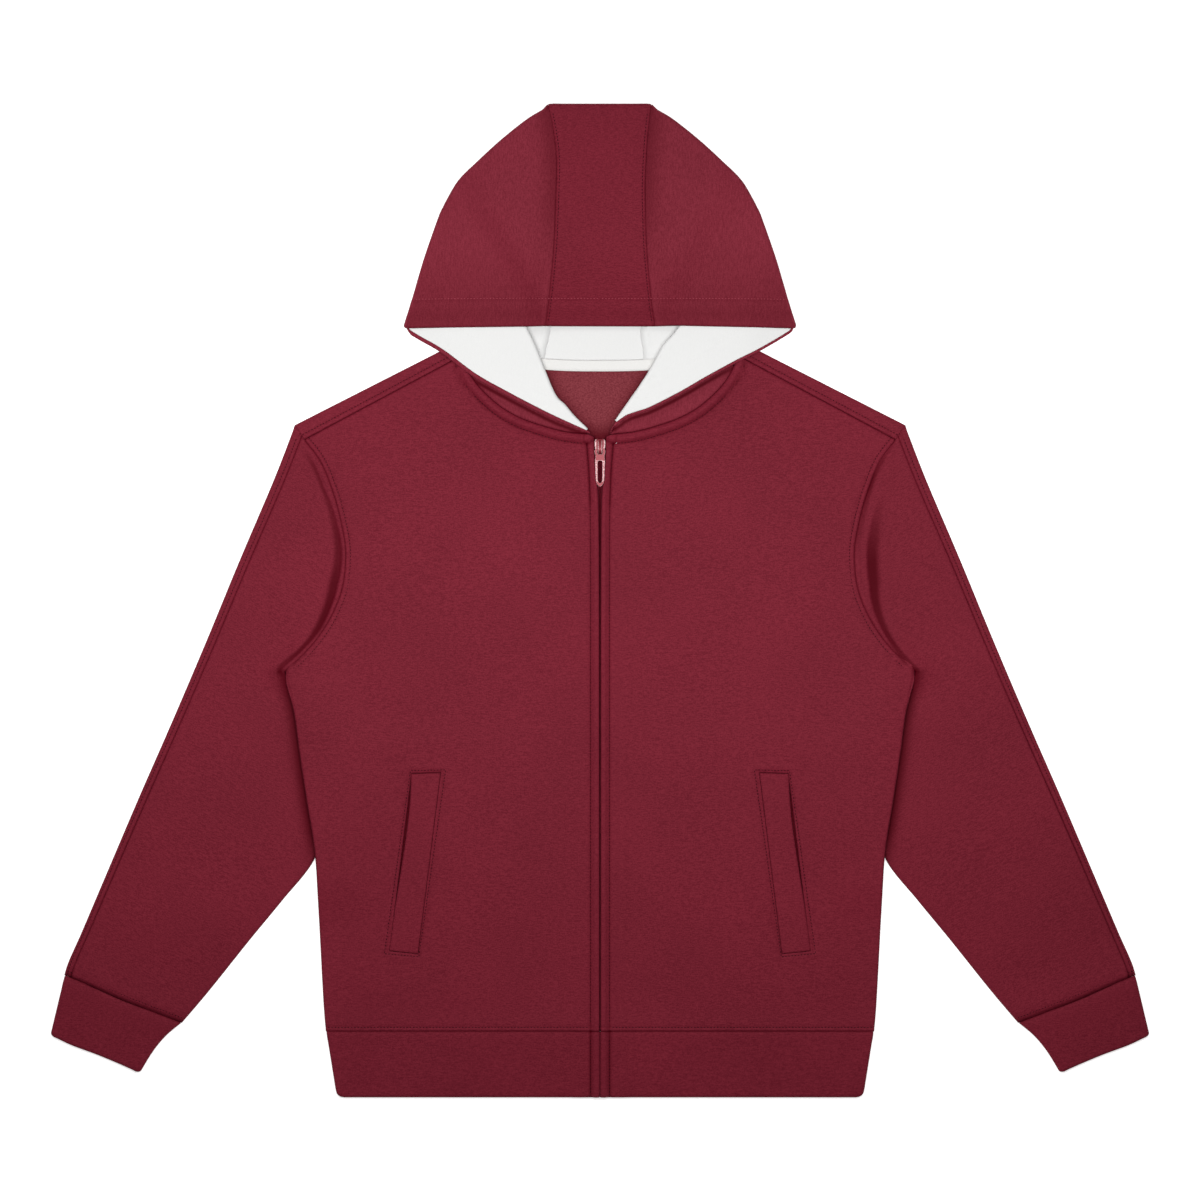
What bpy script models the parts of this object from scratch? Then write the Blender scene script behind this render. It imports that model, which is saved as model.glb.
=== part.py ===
"""Zip-up hoodie laid out flat, face up, built from the pieces that are cut and sewn.

Lengths in the tables are millimetres and become metres when a mesh is made. +X is to the right of
the garment as seen from above, +Y runs towards the hood and +Z is up from the surface it lies on.
The origin is under the middle of the laid-out garment. Panel tables give the distance from the
centre line first, so that one table serves both sides.
"""
import math

import bmesh
import bpy
import numpy as np

MM = 0.001

# Cloth. A sheet's height below is always that of its middle.
FLEECE = 1.4
LINING = 1.1
BAND = 2.2
BAG = 1.0
TAPE = 1.0
SEAM_GAP = 0.3
SHEET_GAP = 0.6
HALF_GAP = SEAM_GAP / 2

# Body, from the hem seam up to the shoulders.
HEM_SEAM_Y = -410.4
HEM_BOTTOM_Y = -472.4
HEM_BOTTOM_HALF = 250.6
UNDERARM = (299.3, -67.6)
SHOULDER_TIP = (290.3, 165.0)
NECK_POINT = (131.0, 246.7)
BACK_NECK_Y = 222.0
SIDE_EDGE = [(260.5, -410.4), (262.9, -381.0), (267.0, -305.0), (270.7, -241.8),
             (278.7, -191.0), (285.7, -144.8), (290.6, -108.0), UNDERARM]
ARMHOLE = [UNDERARM, (284.0, -53.6), (267.9, -35.1), (254.0, -12.1), (244.8, 13.3), (242.0, 43.3),
           (244.8, 66.4), (252.9, 98.8), (265.6, 131.0), (281.4, 152.6)]
ARMHOLE_TIP = (289.0, 162.6)
FRONT_NECK = [(13.1, 157.9), (32.0, 160.0), (52.0, 165.0), (75.7, 173.3), (95.8, 185.0),
              (115.2, 203.0), (125.2, 218.0), (131.0, 232.6)]
FRONT_TOP_Y = 155.3

# Half width of the slit between the front edges, from the hem up.
SLIT = [(-472.4, 0.6), (20.0, 0.7), (50.0, 1.0), (80.0, 1.8), (100.0, 2.8), (115.0, 3.8),
        (130.0, 4.9), (145.0, 5.8), (155.3, 6.0)]

# Sleeves and cuffs. The underarm edge runs under the body's side before it comes into view.
OVERARM = [(290.3, 163.4), (310.5, 114.3), (342.9, 38.1), (374.3, -38.1), (406.7, -114.3),
           (440.0, -190.5), (472.4, -266.7), (491.0, -310.6), (504.8, -342.9), (509.3, -356.9)]
OVERARM_SEAM_INSET = (10.0, 6.0)
SLEEVE_FRONT_TIP = np.array([1.2, -2.6])
SLEEVE_BACK_TIP = np.array([0.4, -1.4])
SLEEVE_SEAM_START = np.array([1.4, -1.4])
UNDERARM_EDGE = [(299.3, -67.9), (287.0, -96.0), (270.0, -132.0), (261.0, -170.0),
                 (262.5, -212.0), (273.4, -248.6), (302.9, -285.7), (334.3, -323.8),
                 (372.4, -371.4), (398.4, -402.0)]
CUFF_SEAM = [(509.3, -357.2), (479.0, -370.0), (455.6, -380.4), (427.0, -391.6), (398.4, -402.6)]
CUFF_END = [(522.9, -414.3), (504.2, -423.3), (479.0, -432.6), (455.6, -442.2), (437.6, -450.2)]

# How the body rises over the part of the sleeve that lies under its side.
SLEEVE_UNDER_BODY = 4.1
BACK_LIFT_RAMP = 44.0
FRONT_LIFT_RAMP = 64.0
FRONT_LIFT_LEAD = 10.0
LIFT_FROM_Y = (-20.0, -60.0)
LIFT_TO_Y = (-256.0, -300.0)
LIFT_MARGIN = 6.0
FRONT_SLACK = 1.1

# Soft rises of the front over what lies in or beside it.
FRONT_MID = 1.5 * FLEECE + SHEET_GAP
ZIP_RISE = 2.4
TAPE_RISE = 1.0
NECK_RISE = 2.9
NECK_RISE_REACH = 20.0
BAND_RISE = 1.2
BAND_RISE_REACH = 45.0
HEM_STEP = 20.0
POCKET_RISE = 1.0

# Welt pockets: corners of the window, outer edge first, and the bag behind it.
WINDOW_TOP = ((179.6, -165.0), (151.5, -164.2))
WINDOW_BOTTOM = ((200.4, -333.8), (173.0, -336.7))
WELT = 2.0
WELT_SLIT = (0.5, 2.2)
BAG_BOX = ((96.0, -384.0), (202.0, -158.0))
BAG_MARGIN = 18.0
BAG_RAMP = 30.0

# Hood. Heights of its layers, from the table up: the back, the part that rises from the front
# neck seam, the lapel folded back over it, and the crown laid over both.
HOOD_BACK_Z = 1.55
SIDE_FOLD = 1.6
LAPEL_FOLD = 1.9
FRONT_RISE_Z = HOOD_BACK_Z + 2 * SIDE_FOLD
LAPEL_Z = FRONT_RISE_Z + 2 * LAPEL_FOLD
CROWN_OVER_LAPEL = 2 * SIDE_FOLD
CROWN_REST_Z = HOOD_BACK_Z + 2 * SIDE_FOLD
BRIM_BRIDGE = 2.7
CORNER_DROP = 4.6
CORNER_RAMP = 52.0
PLEAT_TOP_Y = 372.0
HOOD_SILHOUETTE = [(187.0, 260.5), (179.0, 285.7), (167.6, 323.8), (154.3, 361.9),
                   (145.7, 381.0), (134.3, 400.0), (115.2, 419.0), (94.3, 438.1),
                   (70.5, 457.1), (55.2, 466.9), (50.4, 470.0)]
SILHOUETTE_PLEAT_ROW = (150.2, 372.0)
HOOD_SIDES = {
    "left": {
        "crown_seam": [(51.9, 262.9), (47.8, 294.9), (43.6, 340.0), (42.2, 372.0)],
        "crown_seam_top": [(42.2, 372.0), (41.1, 417.7), (44.6, 449.0), (48.9, 469.2)],
        "back_seam": [(53.0, 223.6), (51.2, 238.0), (46.9, 259.1), (42.8, 310.0), (42.2, 372.0)],
        "free_edge": [(187.0, 260.5), (171.8, 251.1), (149.0, 237.8), (118.3, 215.0),
                      (89.0, 198.4), (56.9, 181.6), (30.1, 169.0), (10.8, 161.2)],
        "lapel_fold": [(10.8, 161.2), (23.4, 174.3), (32.8, 185.7), (42.2, 195.0),
                       (52.2, 219.0), (62.2, 244.5), (69.5, 259.4)],
        "fold_under_crown": [(69.5, 259.4), (92.0, 305.0), (116.0, 348.0), (131.5, 372.0)],
    },
    "right": {
        "crown_seam": [(52.4, 261.4), (49.1, 284.1), (44.4, 335.2), (43.0, 372.0)],
        "crown_seam_top": [(43.0, 372.0), (42.9, 400.0), (45.2, 440.0), (48.4, 469.2)],
        "back_seam": [(42.0, 222.8), (40.8, 238.0), (38.4, 259.1), (40.6, 310.0), (43.0, 372.0)],
        "free_edge": [(186.8, 260.2), (168.0, 248.5), (149.3, 237.8), (129.2, 227.7),
                      (101.2, 212.4), (74.5, 197.0), (47.8, 183.6), (27.7, 175.6),
                      (13.7, 165.5)],
        "lapel_fold": [(13.7, 165.5), (19.0, 175.0), (34.4, 195.0), (46.5, 216.4),
                       (53.1, 229.7), (61.1, 244.5), (74.5, 260.2)],
        "fold_under_crown": [(74.5, 260.2), (95.0, 305.0), (117.0, 348.0), (131.5, 372.0)],
    },
}
HOOD_NECK_POINT = (128.6, 248.6)
PLEAT_FOLD = [HOOD_NECK_POINT, (129.0, 272.0), (130.5, 300.0), (134.5, 335.0), (141.0, 372.0)]
LINING_SETBACK = 3.0
LINING_SLACK = 2.0
LINING_ABOVE_NECK = 6.5
HOOD_INSET = SIDE_FOLD + SEAM_GAP / 2 + FLEECE
LAPEL_INSET = LAPEL_FOLD + SEAM_GAP / 2 + LINING
TAPE_SPAN = 96.0
NECK_TAPE_WIDTH = 10.5
NECK_TAPE_BELOW = 4.4

# Zip.
CHAIN_HALF = 2.6
CHAIN_DEPTH = 2.0
TAPE_HALF = 15.0
SLIDER_HALF = 5.35
SLIDER_NARROW = 4.2
SLIDER_Y = (138.8, 153.2)
SLIDER_Z = (1.7, 5.3)
SLIDER_SHOULDER_Y = 146.5
BAIL_HALF = 1.9
BAIL_THICK = 1.1
BAIL_PATH = [(139.8, 5.6), (139.9, 7.1), (141.4, 8.35), (144.0, 8.75), (147.0, 8.4),
             (149.8, 7.7), (151.2, 6.6), (151.4, 5.6)]
TAB_AXIS = (0.0, 144.0, 6.85)
TAB_THICK = 1.4
TAB_TIP_Y = 107.8
BOX_Y = (-469.0, -459.0)
BOX_DEPTH = 1.9

# Grid divisions: shared seams use the same divisions on both pieces.
SIDE_STEPS = 7
ARMHOLE_STEPS = 9
SLEEVE_STEPS = 9
NECK_STEPS = 7
SHOULDER_STATIONS = np.array([0.0, 0.3, 0.6, 0.84, 1.0])
SHOULDER_STEPS = len(SHOULDER_STATIONS) - 1
SLEEVE_ACROSS = 6
PLEAT_ROWS = 9
CROWN_ROWS = 6
FOLD_STEPS = 4
HIDDEN_FOLD_STEPS = 3
CROWN_ACROSS = 3
LAPEL_ACROSS = 5
BACK_ACROSS = 3
NEAR_ZIP = (6.5, 16.0, 28.0)

MAROON = (0.205, 0.022, 0.036)
WHITE = (0.82, 0.82, 0.80)
PAINTED_ZINC = (0.50, 0.09, 0.11)
DARK_COIL = (0.10, 0.012, 0.02)


# ---------------------------------------------------------------- curves and grids

def smoothstep(value):
    """Rises from 0 to 1 with level ends as value goes from 0 to 1."""
    t = np.clip(value, 0.0, 1.0)
    return t * t * (3.0 - 2.0 * t)


def spline(points, fractions):
    """Points of a Catmull-Rom curve through the given points, at fractions of its length."""
    pts = np.asarray(points, float)
    ends = np.vstack([2 * pts[0] - pts[1], pts, 2 * pts[-1] - pts[-2]])
    t = np.linspace(0.0, 1.0, 25)[:-1, None]
    spans = []
    for a, b, c, d in zip(ends[:-3], ends[1:-2], ends[2:-1], ends[3:]):
        spans.append(0.5 * (2 * b + (c - a) * t + (2 * a - 5 * b + 4 * c - d) * t ** 2
                            + (3 * b - a - 3 * c + d) * t ** 3))
    dense = np.vstack(spans + [pts[-1:]])
    length = np.concatenate([[0.0], np.cumsum(np.linalg.norm(np.diff(dense, axis=0), axis=1))])
    at = np.asarray(fractions) * length[-1]
    return np.stack([np.interp(at, length, dense[:, k]) for k in range(pts.shape[1])], axis=1)


def even(steps):
    """Fractions 0 to 1 in equal steps."""
    return np.linspace(0.0, 1.0, steps + 1)


def straight(start, end, steps):
    """Points on a straight line, both ends included."""
    start, end = np.asarray(start, float), np.asarray(end, float)
    return start + (end - start) * even(steps)[:, None]


def join(*curves):
    """One curve from curves that share their ends."""
    return np.vstack([curves[0]] + [curve[1:] for curve in curves[1:]])


def shifted(curve, distance):
    """A curve moved sideways, to its right as it runs."""
    step = np.gradient(curve, axis=0)
    step /= np.linalg.norm(step, axis=1)[:, None]
    return curve + distance * np.stack([step[:, 1], -step[:, 0]], axis=1)


def travel(curve, other):
    """How far along each point of two like curves lies, as a fraction: the mean of both."""
    fractions = []
    for line in (curve, other):
        steps = np.linalg.norm(np.diff(line, axis=0), axis=1)
        if steps.sum() > 0.0:
            fractions.append(np.concatenate([[0.0], np.cumsum(steps)]) / steps.sum())
    return np.mean(fractions, axis=0)


def coons(bottom, top, left, right):
    """Grid of points between four curves: rows from bottom to top, columns from left to right."""
    u = travel(bottom, top)[None, :, None]
    v = travel(left, right)[:, None, None]
    corners = ((1 - v) * ((1 - u) * bottom[0] + u * bottom[-1])
               + v * ((1 - u) * top[0] + u * top[-1]))
    return ((1 - u) * left[:, None] + u * right[:, None]
            + (1 - v) * bottom[None] + v * top[None] - corners)


def raised(grid, height):
    """A flat grid given a height, a number or an array of the grid's shape."""
    return np.dstack([grid, np.broadcast_to(height, grid.shape[:2])])


def fold(edge_from, edge_to, outward, steps):
    """Rows or columns between two edges of a folded sheet: half turns that bulge outward."""
    middle = (edge_from + edge_to) / 2
    half = (edge_from - edge_to) / 2
    bulge = np.concatenate([outward, np.zeros((len(outward), 1))], axis=1)
    radius = np.abs(half[:, 2:3])
    turns = np.linspace(0.0, math.pi, steps + 1)[1:-1]
    return [middle + half * math.cos(a) + bulge * radius * math.sin(a) for a in turns]


def outward_of(curve, sign):
    """Unit normals of a flat curve, to its left for sign +1 and to its right for -1."""
    step = np.gradient(curve, axis=0)
    step /= np.linalg.norm(step, axis=1)[:, None]
    return sign * np.stack([-step[:, 1], step[:, 0]], axis=1)


# ---------------------------------------------------------------- objects

def material(name, colour, roughness, metallic=0.0):
    """A plain finish for one piece."""
    made = bpy.data.materials.new(name)
    made.use_nodes = True
    shader = made.node_tree.nodes["Principled BSDF"]
    shader.inputs["Base Color"].default_value = (*colour, 1.0)
    shader.inputs["Roughness"].default_value = roughness
    shader.inputs["Metallic"].default_value = metallic
    return made


def collection(name):
    """A new collection in the scene."""
    made = bpy.data.collections.new(name)
    bpy.context.scene.collection.children.link(made)
    return made


def mesh_object(name, mesh, where, finish=None):
    """An object for a mesh, in a collection, with its own finish."""
    obj = bpy.data.objects.new(name, mesh)
    where.objects.link(obj)
    if finish:
        mesh.materials.append(material(name, *finish))
    return obj


def grid_mesh(name, grids, side):
    """A mesh of one or more grids, welded where they share edges. The left side is mirrored."""
    verts, faces, first = [], [], 0
    for grid in grids:
        rows, cols = grid.shape[:2]
        verts.append(grid.reshape(-1, 3))
        index = first + np.arange(rows * cols).reshape(rows, cols)
        quads = np.stack([index[:-1, :-1], index[:-1, 1:], index[1:, 1:], index[1:, :-1]], axis=-1)
        faces.append(quads.reshape(-1, 4))
        first += rows * cols
    verts, faces = np.vstack(verts) * MM, np.vstack(faces)
    if side == "left":
        verts = verts * np.array([-1.0, 1.0, 1.0])
        faces = faces[:, ::-1]
    mesh = bpy.data.meshes.new(name)
    mesh.from_pydata(verts.tolist(), [], faces.tolist())
    work = bmesh.new()
    work.from_mesh(mesh)
    bmesh.ops.remove_doubles(work, verts=work.verts, dist=0.01 * MM)
    work.to_mesh(mesh)
    work.free()
    mesh.shade_smooth()
    return mesh


def cloth(name, grids, finish, where, thick=FLEECE, shift=0.0, side="right"):
    """A cloth piece: a surface with a wall. shift moves the wall along the normals, in mm."""
    obj = mesh_object(name, grid_mesh(name, grids, side), where, finish)
    wall = obj.modifiers.new("Wall", "SOLIDIFY")
    wall.thickness = thick * MM
    wall.offset = 2 * shift / thick
    wall.use_quality_normals = True
    return obj


# ---------------------------------------------------------------- heights

def sleeve_edge_at(y):
    """How far from the centre the sleeve's hidden edge lies at a given y."""
    ys = [-248.6, -212.0, -170.0, -132.0, -96.0, -67.9]
    xs = [273.4, 262.5, 261.0, 270.0, 287.0, 299.3]
    return np.interp(y, ys, xs)


def lift(grid, ramp, lead=0.0):
    """Rise of the body's side over the sleeve under it, by a ramp that starts ahead by lead."""
    x, y = np.abs(grid[..., 0]), grid[..., 1]
    across = smoothstep((x - sleeve_edge_at(y) + ramp + LIFT_MARGIN) / ramp)
    upper, lower = np.array(LIFT_FROM_Y) + lead, np.array(LIFT_TO_Y) - lead
    along = (smoothstep((upper[0] - y) / (upper[0] - upper[1]))
             * smoothstep((y - lower[1]) / (lower[0] - lower[1])))
    return SLEEVE_UNDER_BODY * across * along


def slit_half(y):
    """Half width of the slit between the front edges at a given y."""
    ys, halves = zip(*SLIT)
    return np.interp(y, ys, halves)


def zip_rise(x, step=0.0):
    """Rise of the front over the zip's chain and tapes, which step up on to the hem band."""
    near_tape = 1 - smoothstep((x - TAPE_HALF - 5.0) / 12.0)
    over_chain = (ZIP_RISE - TAPE_RISE) * (1 - smoothstep((x - 3.5) / 4.0))
    return (TAPE_RISE + step) * near_tape + over_chain


def distance_to(curve, grid):
    """Distance from each point of a flat grid to a curve."""
    gaps = grid[..., None, :2] - spline(curve, even(40))
    return np.sqrt((gaps ** 2).sum(axis=-1)).min(axis=-1)


def pocket_rise(grid):
    """Rise of the front over the pocket bag, with soft sides."""
    (x0, y0), (x1, y1) = BAG_BOX
    x, y = np.abs(grid[..., 0]), grid[..., 1]
    outside = np.maximum(np.maximum(x0 - x, x - x1), np.maximum(y0 - y, y - y1))
    return POCKET_RISE * (1 - smoothstep((outside - BAG_MARGIN) / BAG_RAMP))


def front_height(grid):
    """Height of the front's middle: a smooth maximum of its rises over the resting height."""
    neck = NECK_RISE * (1 - smoothstep(distance_to(FRONT_NECK, grid) / NECK_RISE_REACH))
    band = BAND_RISE * (1 - smoothstep((grid[..., 1] - HEM_SEAM_Y) / BAND_RISE_REACH))
    step = (BAND - FLEECE) * (1 - np.clip((grid[..., 1] - HEM_SEAM_Y) / HEM_STEP, 0.0, 1.0))
    rises = [zip_rise(grid[..., 0], step), neck, band, pocket_rise(grid)]
    total = sum(rise ** 4 for rise in rises) ** 0.25
    return FRONT_MID + total + FRONT_SLACK * lift(grid, FRONT_LIFT_RAMP, FRONT_LIFT_LEAD)


def lapel_height(grid):
    """Height of the lapel, which comes down towards the hood's corner."""
    x, y = np.abs(grid[..., 0]), grid[..., 1]
    pleat_edge = np.interp(y, [246.0, PLEAT_TOP_Y], [133.0, 147.0])
    drop = smoothstep((x - pleat_edge) / CORNER_RAMP) * smoothstep((PLEAT_TOP_Y - y) / 80.0)
    return LAPEL_Z - CORNER_DROP * drop


def crown_height(grid, side):
    """Height of the crown: on the lapels at its sides, sagging to the back in the middle."""
    x, y = np.abs(grid[..., 0]), grid[..., 1]
    under = spline(HOOD_SIDES[side]["fold_under_crown"], even(40))
    edge = np.interp(y, under[:, 1], under[:, 0])
    resting = CROWN_REST_Z + BRIM_BRIDGE * (1 - smoothstep((y - 262.0) / 70.0))
    on_lapel = lapel_height(grid) + CROWN_OVER_LAPEL
    over = smoothstep((x - (edge - 32.0)) / 30.0) * (1 - smoothstep((y - PLEAT_TOP_Y) / 45.0))
    return resting + (on_lapel - resting) * over


def floor_height(y):
    """Top of the cloth under the zip: the back, or the hem band's back."""
    return np.where(np.asarray(y) <= HEM_SEAM_Y, BAND, FLEECE)


# ---------------------------------------------------------------- body

def shoulder_seam():
    """The forward shoulder seam, from the armhole to the neck, in front of the shoulder fold."""
    start, end = np.array(ARMHOLE[-1]), np.array(FRONT_NECK[-1])
    return start + (end - start) * (1 - SHOULDER_STATIONS[::-1])[:, None]


def back_neck(x):
    """y of the back neck seam at a distance from the centre."""
    return BACK_NECK_Y + (NECK_POINT[1] - BACK_NECK_Y) * (np.abs(x) / NECK_POINT[0]) ** 3


def neck_stations():
    """x of the points shared by the back, the hood's sides and its centre strip at the neck."""
    left, right = (HOOD_SIDES[side]["back_seam"][0][0] for side in ("left", "right"))
    outer = NECK_POINT[0]
    return np.concatenate([np.linspace(-outer, -left, 4), np.linspace(-left, right, 4)[1:],
                           np.linspace(right, outer, 4)[1:]])


def back_panel(where):
    """The back, with the strips that wrap over the shoulders to the forward seams."""
    radius = SHEET_GAP / 2 + FLEECE / 2
    inset = radius + FLEECE / 2
    arm = spline(ARMHOLE + [ARMHOLE_TIP], even(ARMHOLE_STEPS))
    side = join(spline(SIDE_EDGE, even(SIDE_STEPS)), arm)
    side = side - [HALF_GAP, 0.0]
    side[0, 1] = HEM_SEAM_Y + HALF_GAP
    slope = np.array(SHOULDER_TIP) - NECK_POINT
    slope /= np.linalg.norm(slope)
    tip = side[-1] + np.array([slope[1], -slope[0]]) * 0.2
    neck_xs = neck_stations()
    neck = np.stack([neck_xs, back_neck(neck_xs) - HALF_GAP], axis=1)
    neck_point = np.array([NECK_POINT[0], neck[-1, 1] - inset])
    right_shoulder = neck_point + (tip - neck_point) * SHOULDER_STATIONS[:, None]
    mirror = np.array([-1.0, 1.0])
    left_shoulder = (right_shoulder * mirror)[::-1]
    neck[0], neck[-1] = left_shoulder[-1], right_shoulder[0]
    top = join(left_shoulder, neck, right_shoulder)
    side[-1] = right_shoulder[-1]
    left = side * mirror
    bottom = np.stack([top[:, 0] * side[0, 0] / top[-1, 0], np.full(len(top), side[0, 1])], axis=1)
    flat = coons(bottom, top, left, side)
    main = raised(flat, FLEECE / 2 + lift(flat, BACK_LIFT_RAMP))

    edge = main[-1, -(SHOULDER_STEPS + 1):]
    seam = shoulder_seam()[::-1] + [0.0, SEAM_GAP]
    outward = outward_of(edge[:, :2], 1)
    near = edge.copy()
    near[:, 2] = front_height(edge[None, :, :2])[0]
    middle = (edge[:, :2] + seam) / 2
    rows = [edge] + fold(edge, near, outward, FOLD_STEPS)
    for flat_row in (edge[:, :2], middle, seam):
        rows.append(np.column_stack([flat_row, front_height(flat_row[None])[0]]))
    wrap = np.stack(rows)
    wrap_left = (wrap * np.array([-1.0, 1.0, 1.0]))[:, ::-1]
    # The walls' outer side is below, so the grids run the other way round.
    grids = [main[:, ::-1], wrap[:, ::-1], wrap_left[:, ::-1]]
    return cloth("back_panel", grids, (MAROON, 0.9), where)


def front_panel(side, where, cutters):
    """One front, from the zip to the side, with its pocket window cut out."""
    arm = spline(ARMHOLE, even(ARMHOLE_STEPS))
    outer = join(spline(SIDE_EDGE, even(SIDE_STEPS)), arm) - [HALF_GAP, 0.0]
    outer[0, 1] = HEM_SEAM_Y + HALF_GAP
    ys = straight([0.0, HEM_SEAM_Y + HALF_GAP], [0.0, FRONT_TOP_Y], len(outer) - 1)[:, 1]
    inner = np.stack([slit_half(ys), ys], axis=1)
    neck = shifted(spline(FRONT_NECK, even(NECK_STEPS)), HALF_GAP)
    shoulder = shoulder_seam()[::-1]
    shoulder[0], shoulder[-1] = neck[-1], outer[-1]
    near_zip = np.array([inner[-1], (inner[-1] + neck[0]) / 2, neck[0]])
    top = join(near_zip, neck, shoulder)
    stations = top[:, 0] * outer[0, 0] / outer[-1, 0]
    stations[:4] = [inner[0, 0], *NEAR_ZIP]
    bottom = np.stack([stations, np.full(len(top), outer[0, 1])], axis=1)
    flat = coons(bottom, top, inner, outer)
    panel = cloth("front_" + side, [raised(flat, front_height(flat))], (MAROON, 0.9), where,
                  side=side)

    corners = [WINDOW_TOP[0], WINDOW_TOP[1], WINDOW_BOTTOM[1], WINDOW_BOTTOM[0]]
    sign = -1.0 if side == "left" else 1.0
    prism = bmesh.new()
    loops = [[prism.verts.new((sign * x * MM, y * MM, z * MM)) for x, y in corners]
             for z in (0.5, 12.0)]
    prism.faces.new(loops[0])
    prism.faces.new(loops[1])
    for k in range(4):
        prism.faces.new([loops[0][k - 1], loops[0][k], loops[1][k], loops[1][k - 1]])
    bmesh.ops.recalc_face_normals(prism, faces=prism.faces)
    mesh = bpy.data.meshes.new("window_" + side)
    prism.to_mesh(mesh)
    prism.free()
    cutter = mesh_object("window_" + side, mesh, cutters)
    cutter.hide_render = True
    cutter.display_type = "WIRE"
    cut = panel.modifiers.new("Pocket window", "BOOLEAN")
    cut.operation = "DIFFERENCE"
    cut.object = cutter
    return panel


def pocket(side, where):
    """The welt that fills the window, open along its outer edge, and the bag under the front."""
    rows = 8
    inset = np.array([SEAM_GAP, 0.0])
    outer = straight(WINDOW_BOTTOM[0], WINDOW_TOP[0], rows)
    inner = straight(WINDOW_BOTTOM[1], WINDOW_TOP[1], rows)
    bow = WELT_SLIT[0] + WELT_SLIT[1] * np.sin(math.pi * even(rows))
    outer = outer - np.stack([bow, np.zeros(rows + 1)], axis=1)
    for edge in (outer, inner):
        edge[0, 1] += SEAM_GAP
        edge[-1, 1] -= SEAM_GAP
    flat = np.stack([inner + inset, (inner + outer) / 2, outer], axis=1)
    low = FLEECE + 2 * SEAM_GAP + BAG
    cloth("pocket_welt_" + side, [raised(flat, low + WELT / 2)], (MAROON, 0.9), where,
          thick=WELT, side=side)
    (x0, y0), (x1, y1) = BAG_BOX
    bag = coons(straight((x0 + 16, y0), (x1, y0), 4), straight((x0, y1), (x1 - 12, y1), 4),
                spline([(x0 + 16, y0), (x0, y0 + 60), (x0, y1)], even(4)),
                straight((x1, y0), (x1 - 12, y1), 4))
    cloth("pocket_bag_" + side, [raised(bag, FLEECE + SEAM_GAP + BAG / 2)], (MAROON, 0.95),
          where, thick=BAG, side=side)


def hem_band(where):
    """The hem band: one strip round the body, open at the zip."""
    rows = 3
    low, high = HEM_BOTTOM_Y, HEM_SEAM_Y - HALF_GAP
    radius = (BAND + SHEET_GAP) / 2
    inset = radius + BAND / 2
    edge = np.array([[HEM_BOTTOM_HALF, low], [SIDE_EDGE[0][0], high]])
    ys = np.linspace(low, high, rows + 1)
    half = np.interp(ys, edge[:, 1], edge[:, 0]) - inset
    front = []
    for station in (0.0, *NEAR_ZIP, 90.0, 170.0):
        xs = np.maximum(slit_half(ys), station)
        front.append(np.column_stack([xs, ys, FRONT_MID + BAND_RISE + zip_rise(xs)]))
    front.append(np.column_stack([half, ys, np.full(rows + 1, FRONT_MID + BAND_RISE)]))
    back_edge = front[-1] * [1, 1, 0] + [0, 0, BAND / 2]
    side_fold = fold(front[-1], back_edge, np.tile([1.0, 0.0], (rows + 1, 1)), FOLD_STEPS)
    right = front + side_fold + [back_edge]
    back = [back_edge * [k, 1, 1] for k in (0.6, 0.2)]
    left = [column * [-1, 1, 1] for column in reversed(right + back)]
    ring = np.stack(right + back + left, axis=1)
    return cloth("hem_band", [ring[::-1]], (MAROON, 0.9), where, thick=BAND)


# ---------------------------------------------------------------- sleeves

def overarm_seam(steps):
    """The overarm seam on the front of the sleeve, from the armhole to the cuff."""
    fold_line = spline(OVERARM, steps)
    inset = np.interp(steps, [0.0, 1.0], OVERARM_SEAM_INSET)
    return fold_line + outward_of(fold_line, -1) * inset[:, None]


def sleeve_rows():
    """Fractions along the overarm fold for the sleeve's rows."""
    return even(ARMHOLE_STEPS + SLEEVE_STEPS)


def cuff_rise(grid):
    """Rise of the sleeve's front where it meets the thicker cuff."""
    return BAND_RISE * (1 - smoothstep(distance_to(CUFF_SEAM, grid) / BAND_RISE_REACH))


def sleeve_inner(first, gap):
    """The armhole down to the underarm, then the underarm edge to the cuff."""
    arm = spline(first, even(ARMHOLE_STEPS))[::-1] + [gap, 0.0]
    edge = spline(UNDERARM_EDGE, even(SLEEVE_STEPS))
    return join(arm, edge)


def sleeve_front(side, where):
    """The front of a sleeve, from the overarm seam to the underarm edge."""
    inner = sleeve_inner(ARMHOLE, HALF_GAP)
    outer = shifted(overarm_seam(sleeve_rows()), HALF_GAP)
    inner[0] = outer[0] = np.array(ARMHOLE[-1]) + SLEEVE_FRONT_TIP
    cuff = straight(inner[-1], outer[-1], SLEEVE_ACROSS)
    top = straight(inner[0], outer[0], SLEEVE_ACROSS)
    flat = coons(top, cuff, inner, outer)
    height = FRONT_MID + cuff_rise(flat)
    return cloth("sleeve_front_" + side, [raised(flat, height)[:, ::-1]], (MAROON, 0.9), where,
                 side=side)


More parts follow.
